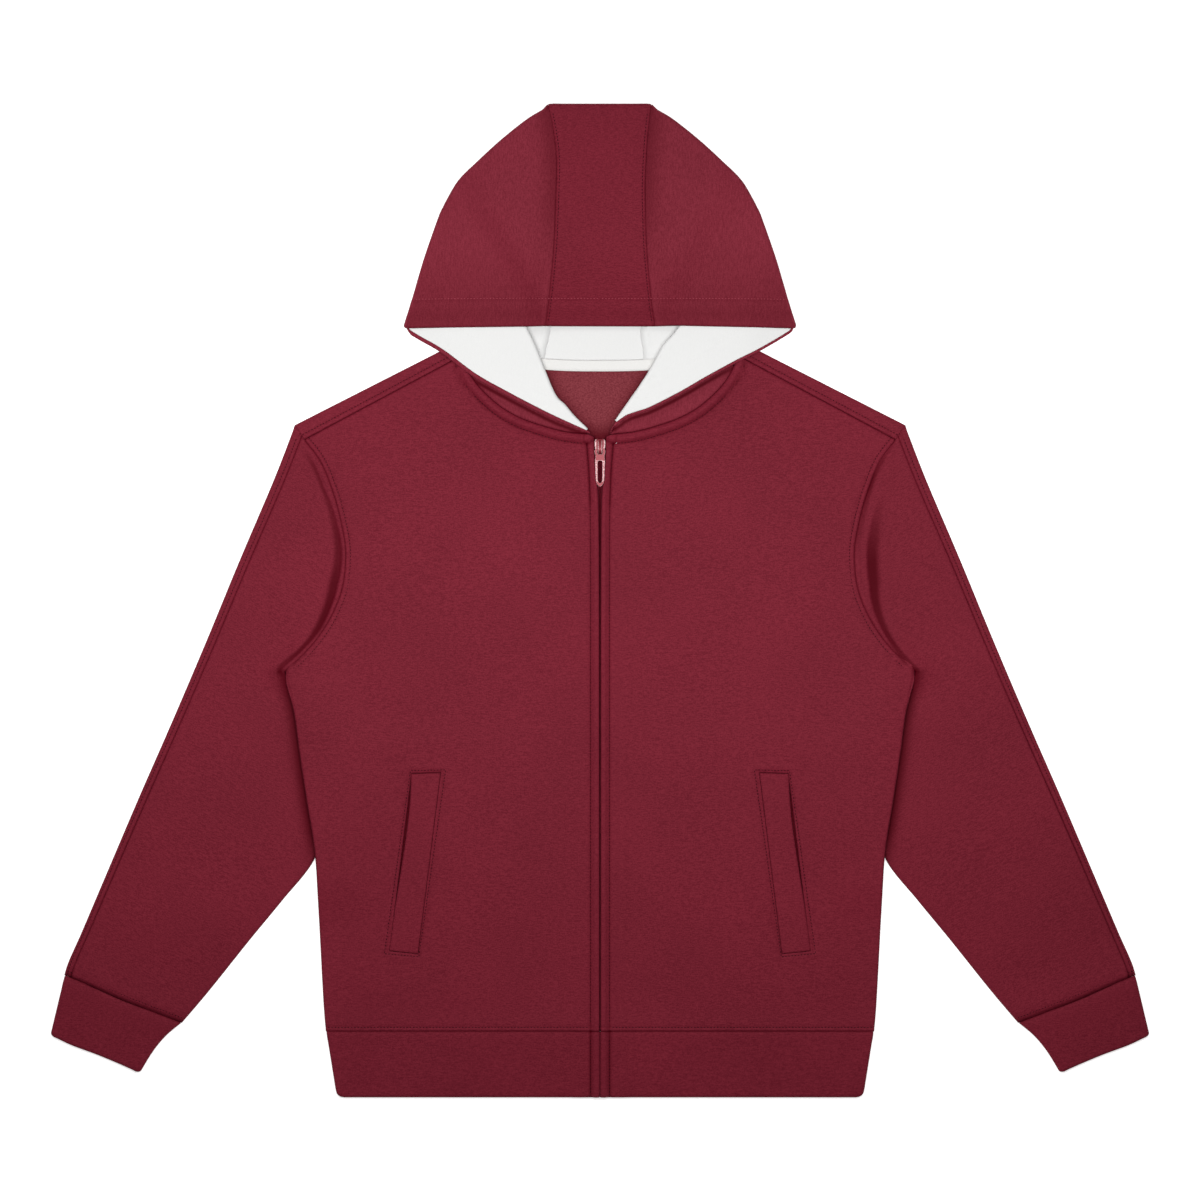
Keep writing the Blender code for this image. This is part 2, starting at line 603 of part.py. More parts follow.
def sleeve_back(side, where):
    """The back of a sleeve, which wraps over the overarm fold to the seam in front."""
    radius = (SHEET_GAP + FLEECE) / 2
    inset = radius + FLEECE / 2
    rows = sleeve_rows()
    fold_line = spline(OVERARM, rows)
    rail = fold_line + outward_of(fold_line, -1) * inset
    inner = sleeve_inner(ARMHOLE + [ARMHOLE_TIP], HALF_GAP)
    inner[0] = rail[0] = np.array(ARMHOLE_TIP) + SLEEVE_BACK_TIP
    top = straight(inner[0], rail[0], SLEEVE_ACROSS)
    cuff = straight(inner[-1], rail[-1], SLEEVE_ACROSS)
    flat = coons(top, cuff, inner, rail)
    main = raised(flat, FLEECE / 2)
    edge = main[:, -1]
    near = edge.copy()
    near[:, 2] = FRONT_MID + cuff_rise(edge[None, :, :2])[0]
    seam = shifted(overarm_seam(rows), -HALF_GAP)
    seam[0] = np.array(ARMHOLE[-1]) + SLEEVE_SEAM_START
    last = np.column_stack([seam, FRONT_MID + cuff_rise(seam[None])[0]])
    outward = outward_of(rail, 1)
    columns = [edge] + fold(edge, near, outward, FOLD_STEPS) + [near, last]
    wrap = np.stack(columns, axis=1)
    return cloth("sleeve_back_" + side, [main[:, ::-1], wrap[:, ::-1]], (MAROON, 0.9), where,
                 side=side)


def cuff(side, where):
    """A cuff: a band all round the sleeve's end, flattened."""
    rows = 3
    across = SLEEVE_ACROSS
    radius = (BAND + SHEET_GAP) / 2
    inset = radius + BAND / 2
    seam = spline(CUFF_SEAM, even(across)) + [0.0, -HALF_GAP * 2]
    end = spline(CUFF_END, even(across))
    front = []
    for t in even(rows):
        row = seam + (end - seam) * t
        direction = (row[-1] - row[0]) / np.linalg.norm(row[-1] - row[0])
        row[0] += direction * inset
        row[-1] -= direction * inset
        front.append(row)
    flat = np.stack(front)
    upper = raised(flat, FRONT_MID + BAND_RISE)
    lower = raised(flat, BAND / 2)
    direction = flat[:, -1] - flat[:, 0]
    direction /= np.linalg.norm(direction, axis=1)[:, None]
    inner_fold = fold(upper[:, -1], lower[:, -1], direction, FOLD_STEPS)
    outer_fold = fold(lower[:, 0], upper[:, 0], -direction, FOLD_STEPS)
    columns = ([upper[:, k] for k in range(across + 1)] + inner_fold
               + [lower[:, k] for k in range(across, -1, -1)] + outer_fold + [upper[:, 0]])
    ring = np.stack(columns, axis=1)
    return cloth("cuff_" + side, [ring[:, ::-1]], (MAROON, 0.9), where, thick=BAND, side=side)


# ---------------------------------------------------------------- hood

def hood_rails(side, lining):
    """Curves up the hood's side, from its lower edge to the row where the pleat ends."""
    table = HOOD_SIDES[side]
    rows = even(PLEAT_ROWS)
    silhouette = HOOD_SILHOUETTE[:4] + [SILHOUETTE_PLEAT_ROW]
    rails = {
        "crown": spline(table["crown_seam"], rows) + [HALF_GAP, 0.0],
        "side": shifted(spline(silhouette, rows), -HOOD_INSET),
        "lapel": shifted(spline(table["lapel_fold"] + table["fold_under_crown"][1:], rows),
                         LAPEL_INSET),
        "under": spline(table["fold_under_crown"], rows),
        "pleat": spline(PLEAT_FOLD, rows),
        "back": spline(table["back_seam"], rows) + [HALF_GAP, 0.0],
    }
    if lining:
        for name, rail in rails.items():
            step = rail[1] - rail[0]
            distance = LINING_ABOVE_NECK if name in ("pleat", "back") else LINING_SETBACK
            rail[0] += step / np.linalg.norm(step) * distance
    return rails


def hood_lower(side, lining):
    """Hood side up to the pleat's end: crown, fold, lapel, fold, front rise, fold, back."""
    table = HOOD_SIDES[side]
    rails = hood_rails(side, lining)
    setback = LINING_SETBACK if lining else 0.0

    def patch(left, right, bottom=None):
        if bottom is None:
            bottom = straight(rails[left][0], rails[right][0], CROWN_ACROSS)
        bottom[0], bottom[-1] = rails[left][0], rails[right][0]
        top = straight(rails[left][-1], rails[right][-1], len(bottom) - 1)
        return coons(bottom, top, rails[left], rails[right])

    crown = np.concatenate([patch("crown", "under"), patch("under", "side")[:, 1:]], axis=1)
    lapel_edge = shifted(spline(table["free_edge"], even(LAPEL_ACROSS)), setback)
    lapel = patch("side", "lapel", lapel_edge)
    rise = patch("lapel", "pleat",
                 shifted(spline(FRONT_NECK, even(NECK_STEPS)), -HALF_GAP - setback))
    stations = np.linspace(NECK_POINT[0], table["back_seam"][0][0], BACK_ACROSS + 1)
    above = LINING_ABOVE_NECK if lining else HALF_GAP
    back = patch("pleat", "back", np.stack([stations, back_neck(stations) + above], axis=1))

    crown = raised(crown, crown_height(crown, side))
    lapel = raised(lapel, lapel_height(lapel))
    rise = raised(rise, FRONT_RISE_Z)
    back = raised(back, HOOD_BACK_Z)
    columns = (list(crown.swapaxes(0, 1))
               + fold(crown[:, -1], lapel[:, 0], outward_of(rails["side"], -1), FOLD_STEPS)
               + list(lapel.swapaxes(0, 1))
               + fold(lapel[:, -1], rise[:, 0], outward_of(rails["lapel"], 1), FOLD_STEPS)
               + list(rise.swapaxes(0, 1))
               + fold(rise[:, -1], back[:, 0], outward_of(rails["pleat"], -1),
                      HIDDEN_FOLD_STEPS)
               + list(back.swapaxes(0, 1)))
    return np.stack(columns, axis=1), crown[-1], back[-1]


def crown_top_seam(side):
    """The strip's seam from the pleat's end to the top of the crown."""
    return spline(HOOD_SIDES[side]["crown_seam_top"], even(CROWN_ROWS)) + [HALF_GAP, 0.0]


def hood_upper(side, crown_row, back_row):
    """Hood side from the pleat's end to the top: the crown folds straight to the back."""
    seam = crown_top_seam(side)
    outline = [SILHOUETTE_PLEAT_ROW] + HOOD_SILHOUETTE[4:]
    edge = shifted(spline(outline, even(CROWN_ROWS)), -HOOD_INSET)
    edge[0] = crown_row[-1, :2]
    edge[-1] = seam[-1]
    back_edge = edge.copy()
    back_edge[0] = back_row[0, :2]
    crown = coons(crown_row[:, :2], straight(seam[-1], edge[-1], 2 * CROWN_ACROSS), seam, edge)
    back = coons(back_row[:, :2], straight(edge[-1], seam[-1], BACK_ACROSS), back_edge, seam)
    crown = raised(crown, crown_height(crown, side))
    back = raised(back, HOOD_BACK_Z)
    outward = outward_of(edge, -1)
    outward[-1] = [0.0, 1.0]
    columns = (list(crown.swapaxes(0, 1))
               + fold(crown[:, -1], back[:, 0], outward, FOLD_STEPS)
               + list(back.swapaxes(0, 1)))
    return np.stack(columns, axis=1)


def hood_side(side, where):
    """A hood side in fleece, and its lining on the inner side of the same folds."""
    for name, finish, thick, shift in (("hood_side_", (MAROON, 0.9), FLEECE, 1),
                                       ("hood_lining_", (WHITE, 0.85), LINING, -1)):
        lower, crown_row, back_row = hood_lower(side, lining=shift < 0)
        upper = hood_upper(side, crown_row, back_row)
        cloth(name + side, [lower, upper], finish, where, thick=thick,
              shift=shift * (HALF_GAP + thick / 2), side=side)


def centre_surface(lining):
    """Middle surface of the strip over the head: brim, crown, fold at the top, back, neck."""
    above = LINING_ABOVE_NECK if lining else 0.0
    edges = {}
    for side in ("left", "right"):
        rails = hood_rails(side, lining)
        top = crown_top_seam(side)
        rows = np.linspace(0.0, 1.0, len(rails["crown"]) + len(top) - 1)
        slack = LINING_SLACK * rows ** 6 if lining else 0.0 * rows
        inward = np.column_stack([SEAM_GAP + slack, 0.0 * rows])
        edges[side] = (join(rails["crown"], top) - inward, join(rails["back"], top) - inward)
    mirror = np.array([-1.0, 1.0])
    layers = []
    for layer in (0, 1):
        left, right = edges["left"][layer] * mirror, edges["right"][layer]
        stations = neck_stations()[3:7]
        if layer == 0:
            bottom = straight(left[0], right[0], len(stations) - 1)
        else:
            bottom = np.stack([stations, back_neck(stations) + HALF_GAP + above], axis=1)
            bottom[0], bottom[-1] = left[0], right[0]
        layers.append(coons(bottom, straight(left[-1], right[-1], len(stations) - 1),
                            left, right))
    crown_z = np.where(layers[0][..., 0] < 0, crown_height(layers[0], "left"),
                       crown_height(layers[0], "right"))
    crown = raised(layers[0], crown_z)
    back = raised(layers[1], HOOD_BACK_Z)
    up = np.tile([0.0, 1.0], (crown.shape[1], 1))
    rows = list(crown) + fold(crown[-1], back[-1], up, FOLD_STEPS) + list(back[::-1])
    return np.stack(rows)


def hood_centre(where):
    """The strip over the head and its lining."""
    for name, finish, thick, shift in (("hood_centre", (MAROON, 0.9), FLEECE, 1),
                                       ("hood_lining_centre", (WHITE, 0.85), LINING, -1)):
        cloth(name, [centre_surface(lining=shift < 0)], finish, where, thick=thick,
              shift=shift * (HALF_GAP + thick / 2))


def neck_tape(where):
    """The tape that covers the back neck seam inside."""
    xs = np.linspace(-TAPE_SPAN, TAPE_SPAN, 11)
    lines = [np.stack([xs, back_neck(xs) - NECK_TAPE_BELOW + NECK_TAPE_WIDTH * t], axis=1)
             for t in (0.0, 1.0)]
    cloth("neck_tape", [raised(np.stack(lines), FLEECE + SEAM_GAP + TAPE / 2)],
          (WHITE, 0.8), where, thick=TAPE)


# ---------------------------------------------------------------- zip

def zip_strips(side, where):
    """One tape of the zip and its half of the chain, from the box to the slider."""
    ys = np.array([BOX_Y[1] + SEAM_GAP, HEM_SEAM_Y, HEM_SEAM_Y + HEM_STEP, -250.0, -100.0,
                   20.0, 110.0, SLIDER_Y[0] - SEAM_GAP])
    under = floor_height(ys) + SEAM_GAP
    chain = [np.column_stack([np.full(len(ys), x), ys, under + CHAIN_DEPTH / 2])
             for x in (HALF_GAP, CHAIN_HALF)]
    cloth("zip_chain_" + side, [np.stack(chain, axis=1)], (DARK_COIL, 0.5), where,
          thick=CHAIN_DEPTH, side=side)
    ys = np.append(ys, FRONT_TOP_Y - 2.0)
    under = floor_height(ys) + SEAM_GAP
    inner = np.where(ys > ys[-3], SLIDER_HALF + SEAM_GAP, CHAIN_HALF + SEAM_GAP)
    tape = [np.column_stack([inner + (TAPE_HALF - inner) * t, ys, under + TAPE / 2])
            for t in (0.0, 1.0)]
    cloth("zip_tape_" + side, [np.stack(tape, axis=1)], (MAROON, 0.8), where,
          thick=TAPE, side=side)


def block(name, outline, low, high, bevel, finish, where):
    """A solid with a flat outline, from low to high, its edges rounded."""
    work = bmesh.new()
    face = work.faces.new([work.verts.new((x * MM, y * MM, low * MM)) for x, y in outline])
    face.normal_update()
    if face.normal.z > 0:
        face.normal_flip()
    made = bmesh.ops.extrude_face_region(work, geom=[face])["geom"]
    top = [item for item in made if isinstance(item, bmesh.types.BMVert)]
    bmesh.ops.translate(work, verts=top, vec=(0.0, 0.0, (high - low) * MM))
    bmesh.ops.recalc_face_normals(work, faces=work.faces)
    mesh = bpy.data.meshes.new(name)
    work.to_mesh(mesh)
    work.free()
    obj = mesh_object(name, mesh, where, finish)
    rounding = obj.modifiers.new("Rounding", "BEVEL")
    rounding.width = bevel * MM
    rounding.segments = 2
    rounding.angle_limit = math.radians(50)
    return obj


def zip_slider(where):
    """The slider at the top of the zip, with the bail that carries the pull tab."""
    low, high = SLIDER_Y
    half = [(SLIDER_NARROW, low), (SLIDER_NARROW + 0.3, low + 3.0),
            (SLIDER_HALF, SLIDER_SHOULDER_Y), (SLIDER_HALF, high - 2.0),
            (SLIDER_HALF - 2.0, high)]
    outline = half + [(-x, y) for x, y in reversed(half)]
    block("zip_slider", outline, *SLIDER_Z, 0.5, (PAINTED_ZINC, 0.4, 0.3), where)
    path = spline(BAIL_PATH, even(12))
    grid = np.stack([np.column_stack([np.full(len(path), x), path])
                     for x in (-BAIL_HALF, 0.0, BAIL_HALF)], axis=1)
    cloth("zip_bail", [grid], (PAINTED_ZINC, 0.4, 0.3), where, thick=BAIL_THICK)


def zip_box(where):
    """The retainer box that joins the two halves of the chain at the hem."""
    floor = BAND + SEAM_GAP
    half = CHAIN_HALF
    outline = [(-half, BOX_Y[0]), (half, BOX_Y[0]), (half, BOX_Y[1]), (-half, BOX_Y[1])]
    block("zip_box", outline, floor, floor + BOX_DEPTH, 0.3, (PAINTED_ZINC, 0.4, 0.3), where)


def pull_tab(where):
    """The pull tab: a flat casting with an eye round the bail and a long slot."""
    half = [(0.0, 144.75), (2.9, 144.6), (4.6, 143.6), (5.1, 141.6), (4.9, 139.4),
            (4.2, 137.6), (4.3, 135.5), (4.6, 132.5), (4.4, 126.0), (4.0, 118.0),
            (3.75, 112.6), (2.4, 109.8), (0.9, 108.1), (0.0, TAB_TIP_Y)]
    eye = [(2.3, 143.2), (2.75, 142.4), (2.75, 139.6), (2.0, 138.5)]
    slot = [(1.95, 132.4), (1.95, 113.6), (0.0, 111.2)]
    curve = bpy.data.curves.new("pull_tab", "CURVE")
    curve.dimensions = "2D"
    curve.fill_mode = "BOTH"
    curve.extrude = TAB_THICK / 2 * MM
    for side_points in (half, eye, slot):
        loop = side_points + [(-x, y) for x, y in reversed(side_points) if x > 0]
        line = curve.splines.new("POLY")
        line.points.add(len(loop) - 1)
        line.use_cyclic_u = True
        for point, (x, y) in zip(line.points, loop):
            point.co = (x * MM, (y - TAB_AXIS[1]) * MM, 0.0, 1.0)
    curve.materials.append(material("pull_tab", PAINTED_ZINC, 0.4, 0.3))
    obj = bpy.data.objects.new("pull_tab", curve)
    where.objects.link(obj)
    obj.location = [value * MM for value in TAB_AXIS]
    return obj


def build():
    """Clears the scene and builds the hoodie."""
    for obj in list(bpy.data.objects):
        bpy.data.objects.remove(obj, do_unlink=True)
    where = collection("zip_up_hoodie")
    cutters = collection("cutters")
    back_panel(where)
    hem_band(where)
    for side in ("left", "right"):
        front_panel(side, where, cutters)
        pocket(side, where)
        sleeve_front(side, where)
        sleeve_back(side, where)
        cuff(side, where)
        hood_side(side, where)
        zip_strips(side, where)
    hood_centre(where)
    neck_tape(where)
    zip_slider(where)
    zip_box(where)
    pull_tab(where)


build()
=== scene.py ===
"""Looks of a zip-up fleece hoodie laid out flat: cloth, stitches, zip, floor, light and camera.

Lengths are millimetres and become metres when a mesh is made. Tables give the distance from the
centre line first and serve both sides: the left side is a mirror image. Each cloth piece is a
surface of two parameters, worked out on a grid, with a wall of its real thickness.
"""
from __future__ import annotations

import logging
import math
from contextlib import contextmanager
from dataclasses import dataclass, field
from enum import Enum
from typing import Callable, Iterator, Sequence

import bmesh
import bpy
import numpy as np
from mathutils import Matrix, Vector

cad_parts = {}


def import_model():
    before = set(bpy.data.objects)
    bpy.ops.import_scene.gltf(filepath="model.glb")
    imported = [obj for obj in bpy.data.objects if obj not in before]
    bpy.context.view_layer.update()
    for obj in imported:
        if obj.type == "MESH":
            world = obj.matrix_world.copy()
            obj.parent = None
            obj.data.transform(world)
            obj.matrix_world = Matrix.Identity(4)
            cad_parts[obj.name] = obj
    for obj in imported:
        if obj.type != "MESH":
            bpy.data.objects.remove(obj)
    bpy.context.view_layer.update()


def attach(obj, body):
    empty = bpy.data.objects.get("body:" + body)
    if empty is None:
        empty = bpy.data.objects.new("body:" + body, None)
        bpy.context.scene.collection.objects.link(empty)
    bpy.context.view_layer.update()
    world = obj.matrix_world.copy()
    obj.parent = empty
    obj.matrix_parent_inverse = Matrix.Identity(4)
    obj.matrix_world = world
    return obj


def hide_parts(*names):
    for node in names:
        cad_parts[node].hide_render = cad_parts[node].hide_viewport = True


LOG = logging.getLogger("hoodie")
Array = np.ndarray
Points = Sequence[Sequence[float]]
Height = Callable[[Array], Array]
Socket = bpy.types.NodeSocket
Pair = tuple[float, float]

MM = 0.001
WELD = 0.01 * MM
GARMENT = "garment"
TAB = "pull_tab"

# Thicknesses of the cloths, and the gaps at seams and between layers.
FLEECE = 1.4
LINING = 1.1
BAND = 2.2
BAG = 1.0
TAPE = 1.0
WELT = 2.0
SEAM_GAP = 0.3
SHEET_GAP = 0.6
HALF_GAP = SEAM_GAP / 2


class Side(Enum):
    """The two sides of the garment, as seen from above."""

    LEFT = "left"
    RIGHT = "right"

    @property
    def sign(self) -> float:
        """Sign of x on this side."""
        return -1.0 if self is Side.LEFT else 1.0


class Held(Enum):
    """How a cloth piece is held."""

    LAID = "laid"
    FOLDED = "folded"


# ---- curves and grids

def smoothstep(value: Array | float) -> Array:
    """Rises from 0 to 1 with level ends as value goes from 0 to 1: 3t^2 - 2t^3."""
    t = np.clip(value, 0.0, 1.0)
    return t * t * (3.0 - 2.0 * t)


def bell(value: Array, width: float) -> Array:
    """A soft hump of height 1 at 0: e to the minus square of value over width."""
    return np.exp(-(value / width) ** 2)


def even(steps: int) -> Array:
    """Fractions 0 to 1 in equal steps."""
    return np.linspace(0.0, 1.0, steps + 1)


def trench(distance: Array, start: Array | float, end: Array | float) -> Array:
    """1 between two distances and 0 outside: a short slope in front and a longer one behind."""
    width = end - start
    return (smoothstep((distance - start) / (0.3 * width + 1.0) + 0.5)
            * smoothstep((end - distance) / (0.5 * width + 1.5) + 0.5))


def graded(length: float, step: float, first: float = 0.0, last: float = 0.0,
           reach: float = 9.0) -> Array:
    """Fractions of a length, closer together near its ends.

    Args:
        length: the length to divide.
        step: spacing in the middle.
        first: spacing within reach of the start, or 0 for none.
        last: spacing within reach of the end, or 0 for none.
        reach: how far the close spacing goes.

    Returns:
        Fractions from 0 to 1.
    """
    start = np.arange(0.0, reach, first) if first else np.zeros(1)
    end = length - np.arange(0.0, reach, last)[::-1] if last else np.array([length])
    count = max(2, round((end[0] - start[-1]) / step) + 1)
    middle = np.linspace(start[-1], end[0], count)
    return np.concatenate([start[:-1], middle, end[1:]]) / length


def traced(points: Points | Array, fractions: Array) -> Array:
    """Points of a polyline at fractions of its length.

    Args:
        points: the polyline.
        fractions: parts of its length.

    Returns:
        One point for each fraction.
    """
    pts = np.asarray(points, float)
    length = np.concatenate([[0.0], np.cumsum(np.linalg.norm(np.diff(pts, axis=0), axis=1))])
    at = np.asarray(fractions) * length[-1]
    return np.stack([np.interp(at, length, pts[:, k]) for k in range(pts.shape[1])], axis=1)


def spline(points: Points | Array, fractions: Array) -> Array:
    """Points of a Catmull-Rom curve through the given points, at fractions of its length.

    Args:
        points: where it passes.
        fractions: parts of its length.

    Returns:
        One point for each fraction.
    """
    pts = np.asarray(points, float)
    ends = np.vstack([2 * pts[0] - pts[1], pts, 2 * pts[-1] - pts[-2]])
    t = np.linspace(0.0, 1.0, 25)[:-1, None]
    spans = []
    for a, b, c, d in zip(ends[:-3], ends[1:-2], ends[2:-1], ends[3:]):
        spans.append(0.5 * (2 * b + (c - a) * t + (2 * a - 5 * b + 4 * c - d) * t ** 2
                            + (3 * b - a - 3 * c + d) * t ** 3))
    return traced(np.vstack(spans + [pts[-1:]]), fractions)


def smooth(points: Points | Array, steps: int) -> Array:
    """A Catmull-Rom curve through the given points, in equal steps."""
    return spline(points, even(steps))


def straight(start: Sequence[float], end: Sequence[float], fractions: Array) -> Array:
    """Points on a straight line at fractions of it."""
    start, end = np.asarray(start, float), np.asarray(end, float)
    return start + (end - start) * fractions[:, None]


def join(*curves: Array) -> Array:
    """One curve from curves that share their ends."""
    return np.vstack([curves[0]] + [curve[1:] for curve in curves[1:]])


def length_of(curve: Array) -> float:
    """Length of a polyline."""
    return float(np.linalg.norm(np.diff(curve, axis=0), axis=1).sum())


def normals_of(curve: Array, sign: float = 1.0) -> Array:
    """Unit normals of a flat curve: to its left for sign +1, to its right for -1."""
    step = np.gradient(curve[:, :2], axis=0)
    step /= np.linalg.norm(step, axis=1)[:, None]
    return sign * np.stack([-step[:, 1], step[:, 0]], axis=1)


def shifted(curve: Array, distance: float) -> Array:
    """A flat curve moved sideways, to its right as it runs."""
    return curve + distance * normals_of(curve, -1.0)


def travel(curve: Array, other: Array) -> Array:
    """How far along each point of two like curves lies, as a fraction: the mean of both.

    Args:
        curve: one curve.
        other: the other, of as many points.

    Returns:
        Fractions from 0 to 1.
    """
    fractions = []
    for line in (curve, other):
        steps = np.linalg.norm(np.diff(line, axis=0), axis=1)
        if steps.sum() > 0.0:
            fractions.append(np.concatenate([[0.0], np.cumsum(steps)]) / steps.sum())
    return np.mean(fractions, axis=0)


def coons(bottom: Array, top: Array, left: Array, right: Array) -> Array:
    """Grid between four curves: the two ruled surfaces added, less the one through the corners.

    Args:
        bottom: the first row.
        top: the last row.
        left: the first column.
        right: the last column.

    Returns:
        The grid, of flat or solid points like the curves.
    """
    u = travel(bottom, top)[None, :, None]
    v = travel(left, right)[:, None, None]
    corners = ((1 - v) * ((1 - u) * bottom[0] + u * bottom[-1])
               + v * ((1 - u) * top[0] + u * top[-1]))
    return ((1 - u) * left[:, None] + u * right[:, None]
            + (1 - v) * bottom[None] + v * top[None] - corners)


def raised(grid: Array, height: Array | float) -> Array:
    """A flat grid given a height, a number or an array of the grid's shape."""
    return np.dstack([grid, np.broadcast_to(height, grid.shape[:2])])


def columns_of(grid: Array) -> list[Array]:
    """The columns of a grid of points."""
    return list(grid.swapaxes(0, 1))


def half_turn(edge_from: Array, edge_to: Array, outward: Array, steps: int,
              widest: float = 9.0) -> list[Array]:
    """Rows between two edges of a folded sheet: middle + half cos(a) + outward radius sin(a).

    Args:
        edge_from: the upper or first edge.
        edge_to: the edge it folds to.
        outward: flat directions in which the fold bulges.
        steps: how many strips it has.
        widest: most that it bulges, in mm.

    Returns:
        The rows between the two edges, without them.
    """
    middle = (edge_from + edge_to) / 2
    half = (edge_from - edge_to) / 2
    bulge = np.concatenate([outward, np.zeros((len(outward), 1))], axis=1)
    radius = np.minimum(np.abs(half[:, 2:3]), widest)
    turns = np.linspace(0.0, math.pi, steps + 1)[1:-1]
    return [middle + half * math.cos(a) + bulge * radius * math.sin(a) for a in turns]


def cornered(outward: Array, curve: Array, corner: Sequence[float], reach: float,
             end: int) -> Array:
    """Outward directions of a fold, turned towards a corner's direction near one end.

    Args:
        outward: the directions.
        curve: the fold.
        corner: the direction wanted at the end.
        reach: how far the turn goes, in mm.
        end: index of that end.

    Returns:
        Unit directions.
    """
    away = np.linalg.norm(curve[:, :2] - curve[end, :2], axis=1)[:, None]
    weight = 1.0 - smoothstep(away / reach)
    mixed = outward * (1.0 - weight) + np.asarray(corner) * weight
    return mixed / np.linalg.norm(mixed, axis=1)[:, None]


def beside(curve: Array, xy: Array) -> tuple[Array, Array]:
    """Where points lie beside a polyline.

    Args:
        curve: the polyline, flat.
        xy: points, in an array of any shape with x and y last.

    Returns:
        The signed distance, positive to the left of the curve, and the fraction along it.
    """
    flat = np.asarray(xy, float)[..., :2].reshape(-1, 2)
    start, run = curve[:-1], np.diff(curve, axis=0)
    along = np.concatenate([[0.0], np.cumsum(np.linalg.norm(run, axis=1))])
    distance, fraction = np.empty(len(flat)), np.empty(len(flat))
    parts = max(1, len(flat) * len(start) // 1_500_000)
    for rows in np.array_split(np.arange(len(flat)), parts):
        offset = flat[rows][:, None] - start
        t = np.clip((offset * run).sum(-1) / (run * run).sum(-1), 0.0, 1.0)
        gap = np.linalg.norm(offset - t[..., None] * run, axis=-1)
        near = gap.argmin(axis=1)
        pick = np.arange(len(rows))
        cross = run[near, 0] * offset[pick, near, 1] - run[near, 1] * offset[pick, near, 0]
        distance[rows] = np.where(cross < 0, -1.0, 1.0) * gap[pick, near]
        step = along[near + 1] - along[near]
        fraction[rows] = (along[near] + t[pick, near] * step) / along[-1]
    shape = np.asarray(xy).shape[:-1]
    return distance.reshape(shape), fraction.reshape(shape)


def aside(curve: Array, xy: Array) -> Array:
    """Signed distance of points from a polyline, positive to its left."""
    return beside(curve, xy)[0]


def mirrored(xy: Array) -> Array:
    """Points of either side as points of the right side."""
    return np.stack([np.abs(xy[..., 0]), xy[..., 1]], axis=-1)


@dataclass(frozen=True)
class Mark:
    """One soft ridge (height above 0) or trough beside a seam, and the shade painted in it."""

    at: float
    width: float
    height: float
    shade: float = 0.0


@dataclass(frozen=True)
class Seam:
    """A seam or stitch line with the marks beside it."""

    curve: Array
    marks: tuple[Mark, ...]

    def relief(self, xy: Array) -> tuple[Array, Array]:
        """Height and painted shade at points: the sum over the marks of a bell across the seam.

        Args:
            xy: places in plan, x and y last.

        Returns:
            Height in mm and painted shade from 0 to 1 at each place.
        """
        distance = aside(self.curve, xy)
        height = sum(mark.height * bell(distance - mark.at, mark.width) for mark in self.marks)
        dark = sum(mark.shade * bell(distance - mark.at, mark.width) for mark in self.marks)
        return height, dark


def relief_of(seams: Sequence[Seam], xy: Array) -> tuple[Array, Array]:
    """Height and painted shade of several seams added up.

    Args:
        seams: the seams.
        xy: places in plan, x and y last.

    Returns:
        Height in mm and painted shade from 0 to 1 at each place.
    """
    height, dark = np.zeros(xy.shape[:-1]), np.zeros(xy.shape[:-1])
    for seam in seams:
        extra, darker = seam.relief(xy)
        height, dark = height + extra, dark + darker
    return height, dark


def roll(distance: Array, radius: float) -> Array:
    """Drop of a rounded edge: a quarter circle, from radius at the edge to 0 further in."""
    t = np.clip(1.0 - np.abs(distance) / radius, 0.0, 1.0)
    return radius * (1.0 - np.sqrt(1.0 - t * t))


# ---- meshes

@dataclass
class Patch:
    """A grid of points with the shade painted at each, and the cells that are kept."""

    points: Array
    dark: Array | None = None
    keep: Array | None = None

    @property
    def area(self) -> float:
        """Area of the kept cells, in square metres: half the cross product of their diagonals."""
        p = self.points
        cross = np.cross(p[1:, 1:] - p[:-1, :-1], p[1:, :-1] - p[:-1, 1:])
        cells = np.linalg.norm(cross, axis=-1) / 2
        return float(cells[self.keep].sum() if self.keep is not None else cells.sum()) * MM * MM


def fill_mesh(mesh: bpy.types.Mesh, verts: Array, faces: Array) -> None:
    """Puts points and equal-sided faces into a mesh.

    Args:
        mesh: an empty mesh.
        verts: its points, in metres.
        faces: point numbers, a row for each face.
    """
    mesh.vertices.add(len(verts))
    mesh.vertices.foreach_set("co", np.ascontiguousarray(verts, np.float32).ravel())
    mesh.loops.add(faces.size)
    mesh.loops.foreach_set("vertex_index", np.ascontiguousarray(faces, np.int32).ravel())
    mesh.polygons.add(len(faces))
    starts = np.arange(0, faces.size, faces.shape[1], dtype=np.int32)
    mesh.polygons.foreach_set("loop_start", starts)
    mesh.update(calc_edges=True)


@contextmanager
def editing(mesh: bpy.types.Mesh) -> Iterator[bmesh.types.BMesh]:
    """A mesh opened for editing, and written back at the end."""
    work = bmesh.new()
    work.from_mesh(mesh)
    yield work
    work.to_mesh(mesh)
    work.free()


